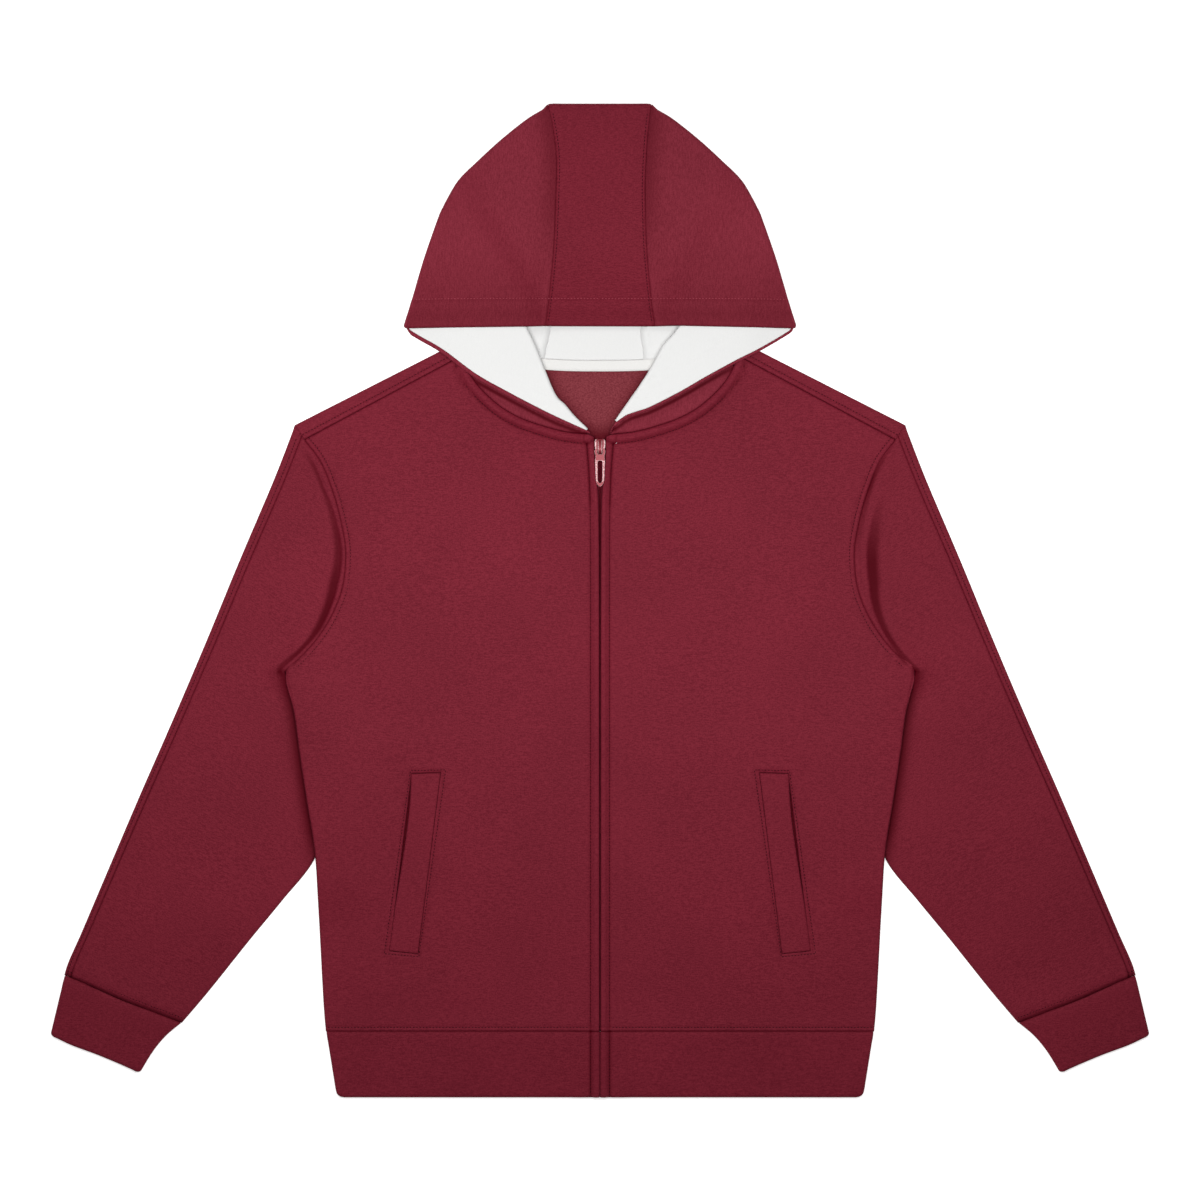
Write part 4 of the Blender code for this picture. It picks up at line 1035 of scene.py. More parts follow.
@dataclass
class Body:
    """Back, two fronts and the hem band, with their seams."""

    finishes: Finishes
    threads: Stitches
    white_threads: Stitches
    zip_stitch: Points = (
        (9.0, -472.0), (9.0, -200.0), (9.0, 40.0), (9.4, 90.0), (10.4, 120.0), (12.6, 148.8))
    # How far each row of stitches lies from its seam.
    window_stitch: float = 2.6
    neck_stitch: float = 9.1
    arm_stitch: float = 4.6
    hem_stitch: float = 3.8
    # The hem band's lower corners.
    band_corner: float = 5.5
    band_foot_x: float = 250.6
    # Painted shade on the back under the nape, beside the lapels and deep in the slit.
    nape_shade: float = 0.06
    lapel_shade: float = 0.42
    slit_shade: float = 0.95
    # Spacing of the grid, in the middle and at its edges.
    spacing: float = 4.2
    edge_step: float = 1.1
    # Where the grid lines beside the pocket start at the hem and end on the shoulder seam.
    rail_feet: Pair = (168.0, 204.0)
    rail_tops: Pair = (0.19, 0.49)
    pocket_ys: Pair = (-336.0, -165.0)
    # Stretches up the front, below, beside and above the pocket: length, rows, close reach.
    stretches: tuple[tuple[float, int, float], ...] = (
        (75.0, 12, 10.0), (172.0, 40, 5.0), (330.0, 74, 14.0))

    def seams(self) -> list[Seam]:
        """Seam lines of the front with the ridges, troughs and painted shade beside them."""
        neck = smooth(FRONT_NECK, 40)
        arm = smooth(ARMHOLE, 40)
        hem = np.array(HEM_LINE)
        shoulder = shoulder_line(even(1))
        return [
            Seam(neck, (Mark(-self.neck_stitch, 1.3, -0.8, 0.4),
                        Mark(-self.neck_stitch, 3.2, 0.0, 0.12), Mark(-4.6, 2.6, 1.3),
                        Mark(-self.neck_stitch - 3.6, 2.0, 0.5), Mark(0.0, 1.15, -0.7, 0.85))),
            Seam(arm, (Mark(self.arm_stitch, 1.1, -0.4, 0.16), Mark(2.3, 1.6, 0.3),
                       Mark(0.0, 1.0, -0.5, 0.7))),
            Seam(hem, (Mark(self.hem_stitch, 0.9, -0.35, 0.16), Mark(1.9, 1.3, 0.4),
                       Mark(0.0, 1.0, -0.5, 0.7), Mark(8.0, 3.0, 0.2))),
            Seam(shoulder, (Mark(0.0, 1.0, -0.5, 0.7), Mark(-3.0, 2.4, 0.3))),
            Seam(smooth(self.zip_stitch, 24),
                 (Mark(0.0, 1.05, -0.7, 0.5), Mark(4.4, 2.2, 0.6), Mark(-4.4, 2.6, 0.45))),
            Seam(smooth(self.zip_stitch[-3:], 16), (Mark(0.0, 1.5, -0.5, 0.48),)),
            Seam(straight((15.2, 150.6), (15.6, 156.0), even(1)), (Mark(0.0, 0.8, -0.3, 0.5),)),
        ]

    def edge_drop(self, xy: Array) -> Array:
        """Drop of the front's zip edge and side edge, which are rounded folds."""
        zip_edge = np.abs(xy[..., 0]) - slit_half(xy[..., 1])
        side_edge = aside(smooth(SIDE_EDGE, 24), xy)
        return roll(zip_edge, 1.5) + roll(side_edge, 2.2)

    def front_form(self, xy: Array) -> tuple[Array, Array]:
        """Height and painted shade of the front.

        Args:
            xy: places in plan, x and y last.

        Returns:
            Height in mm and painted shade from 0 to 1 at each place.
        """
        right = mirrored(xy)
        height, dark = relief_of(self.seams(), right)
        distance = aside(np.array(WINDOW + WINDOW[:1]), right)
        height = height - 0.3 * bell(distance + self.window_stitch, 0.9) - roll(distance, 1.0)
        height = height + 0.35 * bell(distance + 5.0, 3.0)
        # Painted shade in the groove of the window's stitching.
        dark = dark + 0.2 * bell(distance + self.window_stitch, 0.9)
        arm = aside(smooth(ARMHOLE, 20), right)
        inner = smoothstep((np.abs(arm) - 8.0) / 40.0) * smoothstep((right[..., 0] - 20.0) / 50.0)
        inner = inner * smoothstep((right[..., 1] - HEM_SEAM_Y - 6.0) / 50.0)
        waves = 1.1 * inner * swell(xy, 46.0, 1.3)
        return RELAX.front(xy) + height + waves - self.edge_drop(right), dark

    def front_top(self, xy: Array) -> Array:
        """Top of the front's cloth, where its topstitching lies."""
        return self.front_form(xy)[0] + FLEECE / 2

    def outer_rail(self) -> Array:
        """The front's outer edge in three stretches, below, beside and above the pocket."""
        whole = smooth(SIDE_EDGE + ARMHOLE[1:], 400)
        along = np.concatenate([[0.0], np.cumsum(np.linalg.norm(np.diff(whole, axis=0), axis=1))])
        low, high = (np.interp(y, whole[:120, 1], along[:120]) for y in (-335.0, -165.0))
        ends = (0.0, low, high, along[-1])
        parts = [ends[k] + (ends[k + 1] - ends[k]) * self.rows(k) for k in range(3)]
        at = join(*[part[:, None] for part in parts])[:, 0]
        return spline(whole, at / along[-1]) - [HALF_GAP, 0.0]

    def rows(self, k: int) -> Array:
        """Row fractions of one of the three stretches up the front."""
        length, count, reach = self.stretches[k]
        return graded(length, length / count, self.edge_step, self.edge_step, reach)

    def rail(self, *points: Sequence[float]) -> Array:
        """An upright grid line: two straight stretches, then a curve to the top.

        Args:
            points: the hem, both ends of the pocket, then the rest.

        Returns:
            The line, with a point for each row.
        """
        return join(straight(points[0], points[1], self.rows(0)),
                    straight(points[1], points[2], self.rows(1)),
                    spline(points[2:], self.rows(2)))

    def front(self, side: Side) -> None:
        """One front: three strips of grid, the middle one open at the pocket window.

        Args:
            side: the side it is on.
        """
        hem = HEM_SEAM_Y + HALF_GAP
        outer = self.outer_rail()
        marks = (hem, *self.pocket_ys, FRONT_TOP_Y)
        ys = join(*[straight((0.0, low), (0.0, high), self.rows(k))
                    for k, (low, high) in enumerate(zip(marks, marks[1:]))])[:, 1]
        inner = np.stack([slit_half(ys), ys], axis=1)
        first, second = shoulder_line(np.array(self.rail_tops))
        foot_a, foot_b = ((x, hem) for x in self.rail_feet)
        rail_a = self.rail(foot_a, WINDOW[0], WINDOW[3], (150.0, -60.0), (150.0, 80.0), first)
        rail_b = self.rail(foot_b, WINDOW[1], WINDOW[2], (186.0, -60.0), (194.0, 80.0), second)

        # From the zip to the pocket: close columns beside the slit, then even ones.
        neck = shifted(smooth(FRONT_NECK, 200), HALF_GAP)
        over = NEAR_ZIP + inner[-1, 0]
        line = np.vstack([inner[-1:], neck])
        near_top = np.stack([over, np.interp(over, line[:, 0], line[:, 1])], axis=1)
        rest = join(np.vstack([near_top[-1:], neck[neck[:, 0] > over[-1] + 0.5]]),
                    np.vstack([neck[-1:], first[None]]))
        steps = graded(length_of(rest), self.spacing, 0.0, 1.0, 5.0)
        top_a = join(near_top, traced(rest, steps))
        low = NEAR_ZIP + inner[0, 0]
        low_xs = np.concatenate([low, low[-1] + (foot_a[0] - low[-1]) * steps[1:]])
        bottom_a = np.column_stack([low_xs, np.full(len(low_xs), hem)])
        patch_a = coons(bottom_a, top_a, inner, rail_a)

        # The pocket's own strip, and the one from the pocket to the side and the armhole.
        steps_b = graded(28.0, 4.0, 1.0, 1.0, 3.0)
        patch_b = coons(straight(foot_a, foot_b, steps_b),
                        straight(first, second, steps_b), rail_a, rail_b)
        steps_c = graded(75.0, self.spacing, 0.9, 0.7, 7.0)
        patch_c = coons(straight(foot_b, outer[0], steps_c),
                        straight(second, outer[-1], steps_c), rail_b, outer)
        flat = np.concatenate([patch_a, patch_b[:, 1:], patch_c[:, 1:]], axis=1)
        height, dark = self.front_form(flat)
        # The cells of the pocket window are left out.
        keep = np.ones((flat.shape[0] - 1, flat.shape[1] - 1), bool)
        row_ends = np.cumsum([0] + [len(self.rows(k)) - 1 for k in range(3)])
        cols = patch_a.shape[1] - 1, patch_a.shape[1] + patch_b.shape[1] - 2
        keep[row_ends[1]:row_ends[2], cols[0]:cols[1]] = False
        cloth("front_" + side.value, [Patch(raised(flat, height), dark, keep)],
              [self.finishes.fleece, self.finishes.reverse],
              side=side)

    def back(self) -> None:
        """The back, flat but for its sides, with strips that wrap forward over the shoulders."""
        inset = SHEET_GAP / 2 + FLEECE
        arm = spline(ARMHOLE + (ARMHOLE_TIP,), graded(270.0, 6.0, 1.5, 1.5, 6.0))
        side_edge = join(spline(SIDE_EDGE, graded(345.0, 6.0, 1.5, 1.5, 6.0)), arm)
        side_edge = side_edge - [HALF_GAP, 0.0]
        side_edge[0, 1] = HEM_SEAM_Y + HALF_GAP
        # The fold over each shoulder, just inside the outline, and the neck between them.
        slope = np.array(SHOULDER_TIP) - NECK_POINT
        slope /= np.linalg.norm(slope)
        tip = side_edge[-1] + np.array([slope[1], -slope[0]]) * 0.2
        neck_xs = np.linspace(-NECK_POINT[0], NECK_POINT[0], 45)
        neck = np.stack([neck_xs, back_neck(neck_xs) - HALF_GAP], axis=1)
        neck_point = np.array([NECK_POINT[0], neck[-1, 1] - inset])
        shoulder_at = graded(165.0, 5.5, 0.0, 1.2, 6.0)
        right = straight(neck_point, tip, shoulder_at)
        mirror = np.array([-1.0, 1.0])
        left = (right * mirror)[::-1]
        neck[0], neck[-1] = left[-1], right[0]
        top = join(left, neck, right)
        side_edge[-1] = right[-1]
        bottom = np.stack([top[:, 0] * side_edge[0, 0] / top[-1, 0],
                           np.full(len(top), side_edge[0, 1])], axis=1)
        flat = coons(bottom, top, side_edge * mirror, side_edge)
        side_distance = aside(smooth(SIDE_EDGE, 24), mirrored(flat))
        main = raised(flat, RELAX.back(flat) + 0.7 * roll(side_distance, 2.0))
        # Shade under the nape, beside the lapels' folds and deep in the slit.
        nape = bell(flat[..., 1] - back_neck(flat[..., 0]) + 6.0, 6.0)
        dark_main = self.nape_shade * nape * (np.abs(flat[..., 0]) < 100)
        for side in Side:
            fold = aside(np.array(HOOD_LINES[side].lapel_fold), flat * [side.sign, 1.0])
            dark_main = dark_main + self.lapel_shade * bell(fold, 7.0)
        dark_main = np.minimum(dark_main, 0.6) * smoothstep((flat[..., 1] - 60.0) / 60.0)
        depth = np.clip((173.0 - flat[..., 1]) / 19.0, 0.0, 1.0)
        seen = np.abs(flat[..., 0]) < 40
        dark_main = dark_main + (self.slit_shade - dark_main) * depth ** 1.6 * seen

        # The strip that wraps forward: round the fold, then down to the forward seam.
        shoulder = shoulder_line(even(1))
        edge = main[-1, -len(right):]
        seam = shoulder_line(shoulder_at) + [0.0, SEAM_GAP]
        near = edge.copy()
        near[:, 2] = RELAX.front(edge[None, :, :2])[0]
        outward = cornered(normals_of(edge, 1.0), edge, SHOULDER_CORNER, 5.0, -1)
        rows = [edge] + half_turn(edge, near, outward, 8)
        for t in (0.0, 0.25, 0.45, 0.55, 0.62, 0.7, 0.8, 0.9, 1.0):
            flat_row = edge[:, :2] * (1 - t) + seam * t
            distance = aside(shoulder, flat_row)
            height = RELAX.front(flat_row[None])[0] - 0.35 * bell(distance - 5.0, 0.9)
            height = height + 0.3 * bell(distance - 2.6, 1.6) - 0.4 * bell(distance, 0.9)
            rows.append(np.column_stack([flat_row, height]))
        wrap = np.stack(rows)
        # Painted shade in the forward shoulder seam and in the stitch groove beside it.
        distance = aside(shoulder, wrap)
        dark = 0.3 * bell(distance - 5.0, 0.9) + 0.5 * bell(distance, 0.9)
        dark[:8] = 0.0
        patches = [Patch(main[:, ::-1], dark_main[:, ::-1]), Patch(wrap[:, ::-1], dark[:, ::-1]),
                   Patch(wrap * [-1.0, 1.0, 1.0], dark)]
        cloth("back_panel", patches, [self.finishes.fleece, self.finishes.reverse])

    def band_form(self, xy: Array) -> tuple[Array, Array]:
        """Height and painted shade of the hem band's front.

        Args:
            xy: places in plan, x and y last.

        Returns:
            Height in mm and painted shade from 0 to 1 at each place.
        """
        x = np.abs(xy[..., 0])
        height = FRONT_MID + BAND_RISE + RELAX.over_zip(x)
        seams = [Seam(smooth(self.zip_stitch, 24),
                      (Mark(0.0, 1.5, -0.9, 0.78), Mark(4.4, 2.2, 0.6))),
                 Seam(np.array(HEM_LINE), (Mark(0.0, 1.2, -0.5, 0.7), Mark(-6.0, 4.0, 0.3)))]
        extra, dark = relief_of(seams, mirrored(xy))
        zip_edge = x - slit_half(xy[..., 1])
        low_edge = roll(xy[..., 1] - HEM_BOTTOM_Y, 2.0)
        return height + extra - roll(zip_edge, 1.5) - 0.8 * low_edge, dark

    def hem(self) -> None:
        """The hem band: one ring round the body, open at the zip, its lower edge rounded."""
        low, high = HEM_BOTTOM_Y, HEM_SEAM_Y - HALF_GAP
        inset = (BAND + SHEET_GAP) / 2 + BAND / 2
        ys = low + (high - low) * graded(62.0, 4.0, 0.6, 0.8, 4.0)
        corner = roll(ys - low, self.band_corner)
        half = np.interp(ys, [low, high], [self.band_foot_x, SIDE_EDGE[0][0]]) - inset - corner
        across = [slit_half(ys) + offset for offset in NEAR_ZIP]
        across += [across[-1] + (half - across[-1]) * t for t in graded(225.0, 5.0)[1:]]
        flat = np.stack([np.stack(across, axis=1),
                         np.broadcast_to(ys[:, None], (len(ys), len(across)))], axis=-1)
        height, dark = self.band_form(flat)
        front = raised(flat, height)
        rise = 0.8 * roll(ys - low, 2.0)
        back_edge = np.column_stack([half, ys, np.full(len(ys), BAND / 2) + rise])
        turn = half_turn(front[:, -1], back_edge, np.tile([1.0, 0.0], (len(ys), 1)), 10)
        back = [back_edge * [k, 1, 1] for k in np.linspace(1.0, 0.0, 30)]
        right = np.stack(columns_of(front) + turn + back, axis=1)
        left = right[:, ::-1] * [-1.0, 1.0, 1.0]
        darks = np.zeros(right.shape[:2])
        darks[:, :dark.shape[1]] = dark
        patches = [Patch(right[::-1], darks[::-1]), Patch(left[::-1], darks[::-1, ::-1])]
        cloth("hem_band", patches, [self.finishes.band],
              thick=BAND)

    def topstitch(self) -> None:
        """All rows of thread on the body."""
        neck = smooth(FRONT_NECK, 60)
        arm = smooth(ARMHOLE, 60)
        hem = straight((11.0, HEM_SEAM_Y), (259.5, HEM_SEAM_Y), even(30))
        for side in Side:
            rows = [(shifted(neck, self.neck_stitch)[1:], self.front_top),
                    (shifted(arm, -self.arm_stitch)[2:], self.front_top),
                    (shifted(hem, -self.hem_stitch), self.front_top)]
            zip_row = smooth(self.zip_stitch, 80)
            rows.append((zip_row[zip_row[:, 1] > HEM_SEAM_Y + 1.0], self.front_top))
            rows.append((zip_row[zip_row[:, 1] < HEM_SEAM_Y - 1.0],
                         lambda xy: self.band_form(xy)[0] + BAND / 2))
            loop = np.array(WINDOW + WINDOW[:1])
            centre = loop[:-1].mean(axis=0)
            around = centre + (loop - centre) * [1 + self.window_stitch / 13.5,
                                                 1 + self.window_stitch / 84.0]
            for start, end in zip(around[:-1], around[1:]):
                rows.append((straight(start, end, even(12)), self.front_top))
            shoulder = shifted(shoulder_line(even(30)), -5.0)
            rows.append((shoulder, lambda xy: RELAX.front(xy) + FLEECE / 2 - 0.35))
            for curve, height in rows:
                self.threads.along(curve, height, side, lift=0.12)
        self.white_threads.specks(((-14.2, 150.0, 0.3), (-13.2, 147.9, 1.4), (15.6, 149.3, 0.9)),
                                  self.front_top)

    def build(self) -> None:
        """Builds the body's pieces."""
        self.back()
        self.hem()
        for side in Side:
            self.front(side)
        self.topstitch()


@dataclass
class WeltPockets:
    """Welts that fill the pocket windows, open along their outer edges, and the bags."""

    finishes: Finishes
    width: float = 27.0
    length: float = 172.0
    slit_ends: float = 0.5
    slit_middle: float = 2.7

    def welt(self, side: Side) -> None:
        """The welt: a folded strip with a rounded free edge that bows away from the window.

        Args:
            side: the side it is on.
        """
        rows = graded(self.length, 3.0, 0.8, 0.8, 4.0)
        across = graded(self.width, 3.0, 0.5, 0.4, 2.4)
        inner = straight(WINDOW[0], WINDOW[3], rows)
        outer = straight(WINDOW[1], WINDOW[2], rows)
        bow = self.slit_ends + self.slit_middle * np.sin(math.pi * rows ** 2)
        inner = inner + [SEAM_GAP, 0.0]
        outer = outer - np.stack([bow, np.zeros(len(rows))], axis=1)
        flat = inner[:, None] + (outer - inner)[:, None] * across[None, :, None]
        flat[0, :, 1] += SEAM_GAP
        flat[-1, :, 1] -= SEAM_GAP
        low = FLEECE + 2 * SEAM_GAP + BAG + WELT / 2
        free = self.width * (1 - across)
        height = low - roll(free, 1.2)[None] + 0.35 * bell(free - 7.0, 6.0)[None]
        height = height + 0.25 * swell(flat, 30.0, 0.4)
        ends = self.length * np.minimum(rows, 1 - rows)
        # Painted shade along the welt's sewn edge and at its ends.
        dark = np.maximum(0.22 * bell(self.width * across, 1.0), 0.5 * bell(ends, 1.0)[:, None])
        cloth("pocket_welt_" + side.value, [Patch(raised(flat, height), dark)],
              [self.finishes.fleece],
              thick=WELT, side=side)

    def bag(self, side: Side) -> None:
        """The bag under the front: a flat shaped piece.

        Args:
            side: the side it is on.
        """
        x0, y0, x1, y1 = BAG_BOX
        steps = even(40)
        grid = coons(straight((x0 + 16, y0), (x1, y0), steps),
                     straight((x0, y1), (x1 - 12, y1), steps),
                     spline([(x0 + 16, y0), (x0, y0 + 60), (x0, y1)], steps),
                     straight((x1, y0), (x1 - 12, y1), steps))
        # Painted shade on the bag under the slit, which lies in the pocket's shadow.
        slit, along = beside(straight(WINDOW[1], WINDOW[2], even(1)), grid)
        shade = 0.95 * bell(slit, 7.0) * smoothstep(8.0 * np.minimum(along, 1 - along))
        cloth("pocket_bag_" + side.value,
              [Patch(raised(grid, FLEECE + SEAM_GAP + BAG / 2), shade)],
              [self.finishes.reverse],
              thick=BAG, side=side)

    def build(self) -> None:
        """Builds both pockets."""
        for side in Side:
            self.welt(side)
            self.bag(side)


# ---- sleeves

@dataclass
class Sleeves:
    """Sleeve fronts, backs that wrap over to the overarm seam, and cuffs."""

    finishes: Finishes
    threads: Stitches
    # How far the overarm seam lies inside the fold, at the armhole and at the cuff.
    seam_inset: Pair = (10.0, 6.0)
    # Where the pieces start, from the upper ends of the armhole.
    front_tip: Pair = (1.2, -2.6)
    back_tip: Pair = (-0.5, 0.5)
    seam_start: Pair = (0.1, 0.1)
    width: float = 130.0
    cuff_width: float = 115.0
    cuff_length: float = 60.0
    cuff_corner: float = 2.5
    cuff_waist: float = 4.2
    # Depth of a trough as a part of its width, and how dark the painted shade in troughs and the
    # body's painted shadow lie.
    trough_depth: float = 0.13
    trough_shade: float = 0.93
    shadow_width: float = 7.8
    shadow_shade: float = 0.95
    underarm_lift: float = 0.65
    darkest: float = 0.97
    arm_rows: int = 62
    edge_rows: int = 78
    across: int = 26

    def rows(self) -> Array:
        """Fractions along the overarm fold, as many as the inner rail has."""
        return even(self.arm_rows + self.edge_rows)

    def columns(self) -> Array:
        """Fractions across the sleeve, closer together at both edges."""
        return graded(self.width, self.width / self.across, 1.1, 1.1, 30.0)

    def overarm_seam(self, fractions: Array) -> Array:
        """The overarm seam, from the armhole to the cuff: the fold moved inward."""
        line = spline(OVERARM, fractions)
        inset = np.interp(fractions, [0.0, 1.0], self.seam_inset)
        return line + normals_of(line, -1.0) * inset[:, None]

    def inner_rail(self, armhole: Points) -> Array:
        """The armhole from its top down, then the underarm edge to the cuff.

        Args:
            armhole: its points, from the underarm up.

        Returns:
            The rail, armhole first.
        """
        arm = smooth(armhole, 60)[::-1]
        arm = spline(arm, even(self.arm_rows)) + [HALF_GAP, 0.0]
        edge = spline(UNDERARM_EDGE, even(self.edge_rows))
        return join(arm, edge)

    def sleeve_end(self, inner: Array, outer: Array, columns: Array) -> Array:
        """The sleeve's lower edge, along the cuff's seam between its two rails.

        Args:
            inner: the underarm rail.
            outer: the overarm rail.
            columns: fractions across.

        Returns:
            The edge, from the inner rail.
        """
        seam = smooth(CUFF_SEAM, 60)[::-1]
        between = (seam[:, 0] > inner[-1, 0] + 1.0) & (seam[:, 0] < outer[-1, 0] - 1.0)
        return traced(np.vstack([inner[-1:], seam[between], outer[-1:]]), columns)

    def cuff_rise(self, xy: Array) -> Array:
        """Rise of the sleeve's front towards the thicker cuff."""
        distance = aside(smooth(CUFF_SEAM, 12), xy)
        return BAND_RISE * (1 - smoothstep(np.abs(distance) / 45.0))

    def form(self, xy: Array, side: Side) -> tuple[Array, Array]:
        """Height and painted shade of the sleeve's front.

        Args:
            xy: places in plan, x and y last.
            side: the side it is on.

        Returns:
            Height in mm and darkness from 0 to 1 at each place.
        """
        right = mirrored(xy)
        y = right[..., 1]
        arm = smooth(ARMHOLE, 40)
        over = self.overarm_seam(even(40))
        seams = [Seam(arm, (Mark(0.0, 1.0, -0.5, 0.6), Mark(-3.2, 2.0, 0.6))),
                 Seam(over, (Mark(0.0, 0.9, -0.5, 0.6), Mark(4.0, 0.9, -0.35, 0.16),
                             Mark(2.0, 1.4, 0.3), Mark(-3.0, 2.4, 0.3))),
                 Seam(smooth(CUFF_SEAM, 20), (
                     Mark(0.0, 1.0, -0.6, 0.7), Mark(-5.2, 1.0, -0.4, 0.22),
                     Mark(-2.6, 1.5, 0.6), Mark(-10.0, 3.0, 0.3)))]
        height, dark = relief_of(seams, right)
        away, up = beside(arm, right)
        # Troughs beside the armhole: sunk, with painted shade in them, and a soft rise beyond.
        for table in TROUGHS[side]:
            fractions, *columns = zip(*table)
            start, end, strength = (np.interp(up, fractions, column) for column in columns)
            sunk = strength * trench(-away, start, end)
            height = height - self.trough_depth * (end - start) * sunk
            height = height + 0.5 * strength * bell(-away - end - 7.0, 6.0) * smoothstep(up / 0.2)
            dark = dark + self.trough_shade * sunk
        under = aside(smooth(SIDE_EDGE, 30), right)
        sewn = arm[np.round(up * (len(arm) - 1)).astype(int)]
        shown = np.maximum(smoothstep(-under / 2.0), smoothstep((y + 69.0) / 3.0))
        height = height + 1.1 * RELAX.lift(sewn, 64.0, 10.0) * bell(away, 15.0) * shown
        below = smoothstep((-62.0 - y) / 10.0)
        tucked = smoothstep(under / 2.0) * below * smoothstep((y + 140.0) / 40.0)
        height = height + self.underarm_lift * tucked
        # Painted shadow that the body's side edge throws on the sleeve.
        shadow = bell(under, self.shadow_width) * below * smoothstep((y + 275.0) / 60.0)
        dark = np.minimum(dark + self.shadow_shade * shadow, self.darkest)
        edge = aside(smooth(UNDERARM_EDGE, 40), right)
        outer = aside(over, right)
        inside = smoothstep(np.abs(edge) / 30.0) * smoothstep(np.abs(outer) / 30.0)
        inside = inside * smoothstep((np.abs(away) - 8.0) / 40.0)
        waves = 1.6 * inside * swell(xy, 40.0, 2.2)
        rolled = roll(edge, 2.2) * smoothstep((-80.0 - y) / 30.0)
        return FRONT_MID + self.cuff_rise(right) + height + waves - rolled, dark

    def top(self, side: Side) -> Height:
        """Top of one sleeve's cloth, for its stitching."""
        return lambda xy: self.form(xy, side)[0] + FLEECE / 2

    def front(self, side: Side) -> None:
        """The front of a sleeve, from the overarm seam to the underarm edge.

        Args:
            side: the side it is on.
        """
        inner = self.inner_rail(ARMHOLE)
        outer = shifted(self.overarm_seam(self.rows()), HALF_GAP)
        inner[0] = outer[0] = np.array(ARMHOLE[-1]) + self.front_tip
        columns = self.columns()
        flat = coons(straight(inner[0], outer[0], columns), self.sleeve_end(inner, outer, columns),
                     inner, outer)
        height, dark = self.form(flat, side)
        cloth("sleeve_front_" + side.value,
              [Patch(raised(flat, height)[:, ::-1], dark[:, ::-1])],
              [self.finishes.fleece_sleeve[side], self.finishes.reverse],
              side=side)

    def back(self, side: Side) -> None:
        """The back of a sleeve, which wraps over the overarm fold to the seam in front.

        Args:
            side: the side it is on.
        """
        inset = SHEET_GAP / 2 + FLEECE
        rows = self.rows()
        fold_line = spline(OVERARM, rows)
        rail = fold_line + normals_of(fold_line, -1.0) * inset
        inner = self.inner_rail(ARMHOLE + (ARMHOLE_TIP,))
        inner[0] = rail[0] = np.array(ARMHOLE_TIP) + self.back_tip
        columns = graded(self.width, 9.0, 2.0, 3.0, 6.0)
        flat = coons(straight(inner[0], rail[0], columns), self.sleeve_end(inner, rail, columns),
                     inner, rail)
        edge_distance = aside(smooth(UNDERARM_EDGE, 30), flat)
        main = raised(flat, FLEECE / 2 + 0.7 * roll(edge_distance, 2.0))
        edge = main[:, -1]
        near = edge.copy()
        near[:, 2] = FRONT_MID + self.cuff_rise(edge[None, :, :2])[0]
        seam = shifted(self.overarm_seam(rows), -HALF_GAP)
        seam[0] = np.array(ARMHOLE[-1]) + self.seam_start
        outward = cornered(normals_of(rail, 1.0), rail, SHOULDER_CORNER, 5.0, 0)
        # Round the overarm fold, then on to the seam in front.
        lines = [edge] + half_turn(edge, near, outward, 8)
        for t in (0.0, 0.2, 0.35, 0.48, 0.6, 0.75, 0.88, 1.0):
            row = rail * (1 - t) + seam * t
            form = self.form(row[None], side)[0][0]
            base = FRONT_MID + self.cuff_rise(row[None])[0]
            lines.append(np.column_stack([row, base + (form - base) * smoothstep(t * 2.2)]))
        wrap = np.stack(lines, axis=1)
        dark = self.form(wrap, side)[1]
        dark[:, :8] = 0.0
        cloth("sleeve_back_" + side.value,
              [Patch(main), Patch(wrap, dark)],
              [self.finishes.fleece_sleeve[side], self.finishes.reverse],
              side=side)

    def cuff(self, side: Side) -> None:
        """A cuff: a flattened ring with a rounded end.

        Args:
            side: the side it is on.
        """
        columns = graded(self.cuff_width, 5.0)
        inset = (BAND + SHEET_GAP) / 2 + BAND / 2
        seam = spline(CUFF_SEAM, columns)
        end = spline(CUFF_END, columns)
        rows = []
        for t in graded(self.cuff_length, 4.0, 1.0, 0.6, 4.0):
            row = seam + (end - seam) * t
            direction = (row[-1] - row[0]) / np.linalg.norm(row[-1] - row[0])
            waist = self.cuff_waist * math.sin(math.pi * t ** 0.8)
            row = row - direction * waist * columns[:, None] ** 2
            corner = roll((1 - t) * self.cuff_length, self.cuff_corner)
            row = row + direction * np.linspace(inset + corner, -inset - corner,
                                                len(row))[:, None]
            rows.append(row)
        flat = np.stack(rows)
        # Upper and lower layers, joined round both side folds.
        low_distance = aside(end, flat)
        seam_distance = aside(seam, flat)
        height = FRONT_MID + BAND_RISE - 0.9 * roll(low_distance, 2.0)
        height = height - 0.5 * bell(seam_distance, 1.2) + 0.3 * bell(seam_distance - 6.0, 4.0)
        height = height + 0.5 * swell(flat, 30.0, 0.9) * smoothstep(np.abs(seam_distance) / 12.0)
        upper = raised(flat, height)
        lower = raised(flat, BAND / 2 + 0.6 * roll(low_distance, 2.0))
        direction = flat[:, -1] - flat[:, 0]
        direction /= np.linalg.norm(direction, axis=1)[:, None]
        turn_in = half_turn(upper[:, -1], lower[:, -1], direction, 8)
        turn_out = half_turn(lower[:, 0], upper[:, 0], -direction, 8)
        lines = (columns_of(upper) + turn_in + columns_of(lower[:, ::-1]) + turn_out
                 + [upper[:, 0]])
        ring = np.stack(lines, axis=1)
        # Painted shade in the cuff's seam.
        dark = np.zeros(ring.shape[:2])
        dark[:, :flat.shape[1]] = 0.6 * bell(seam_distance, 1.1)
        cloth("cuff_" + side.value, [Patch(ring[:, ::-1], dark[:, ::-1])],
              [self.finishes.band], thick=BAND,
              side=side)

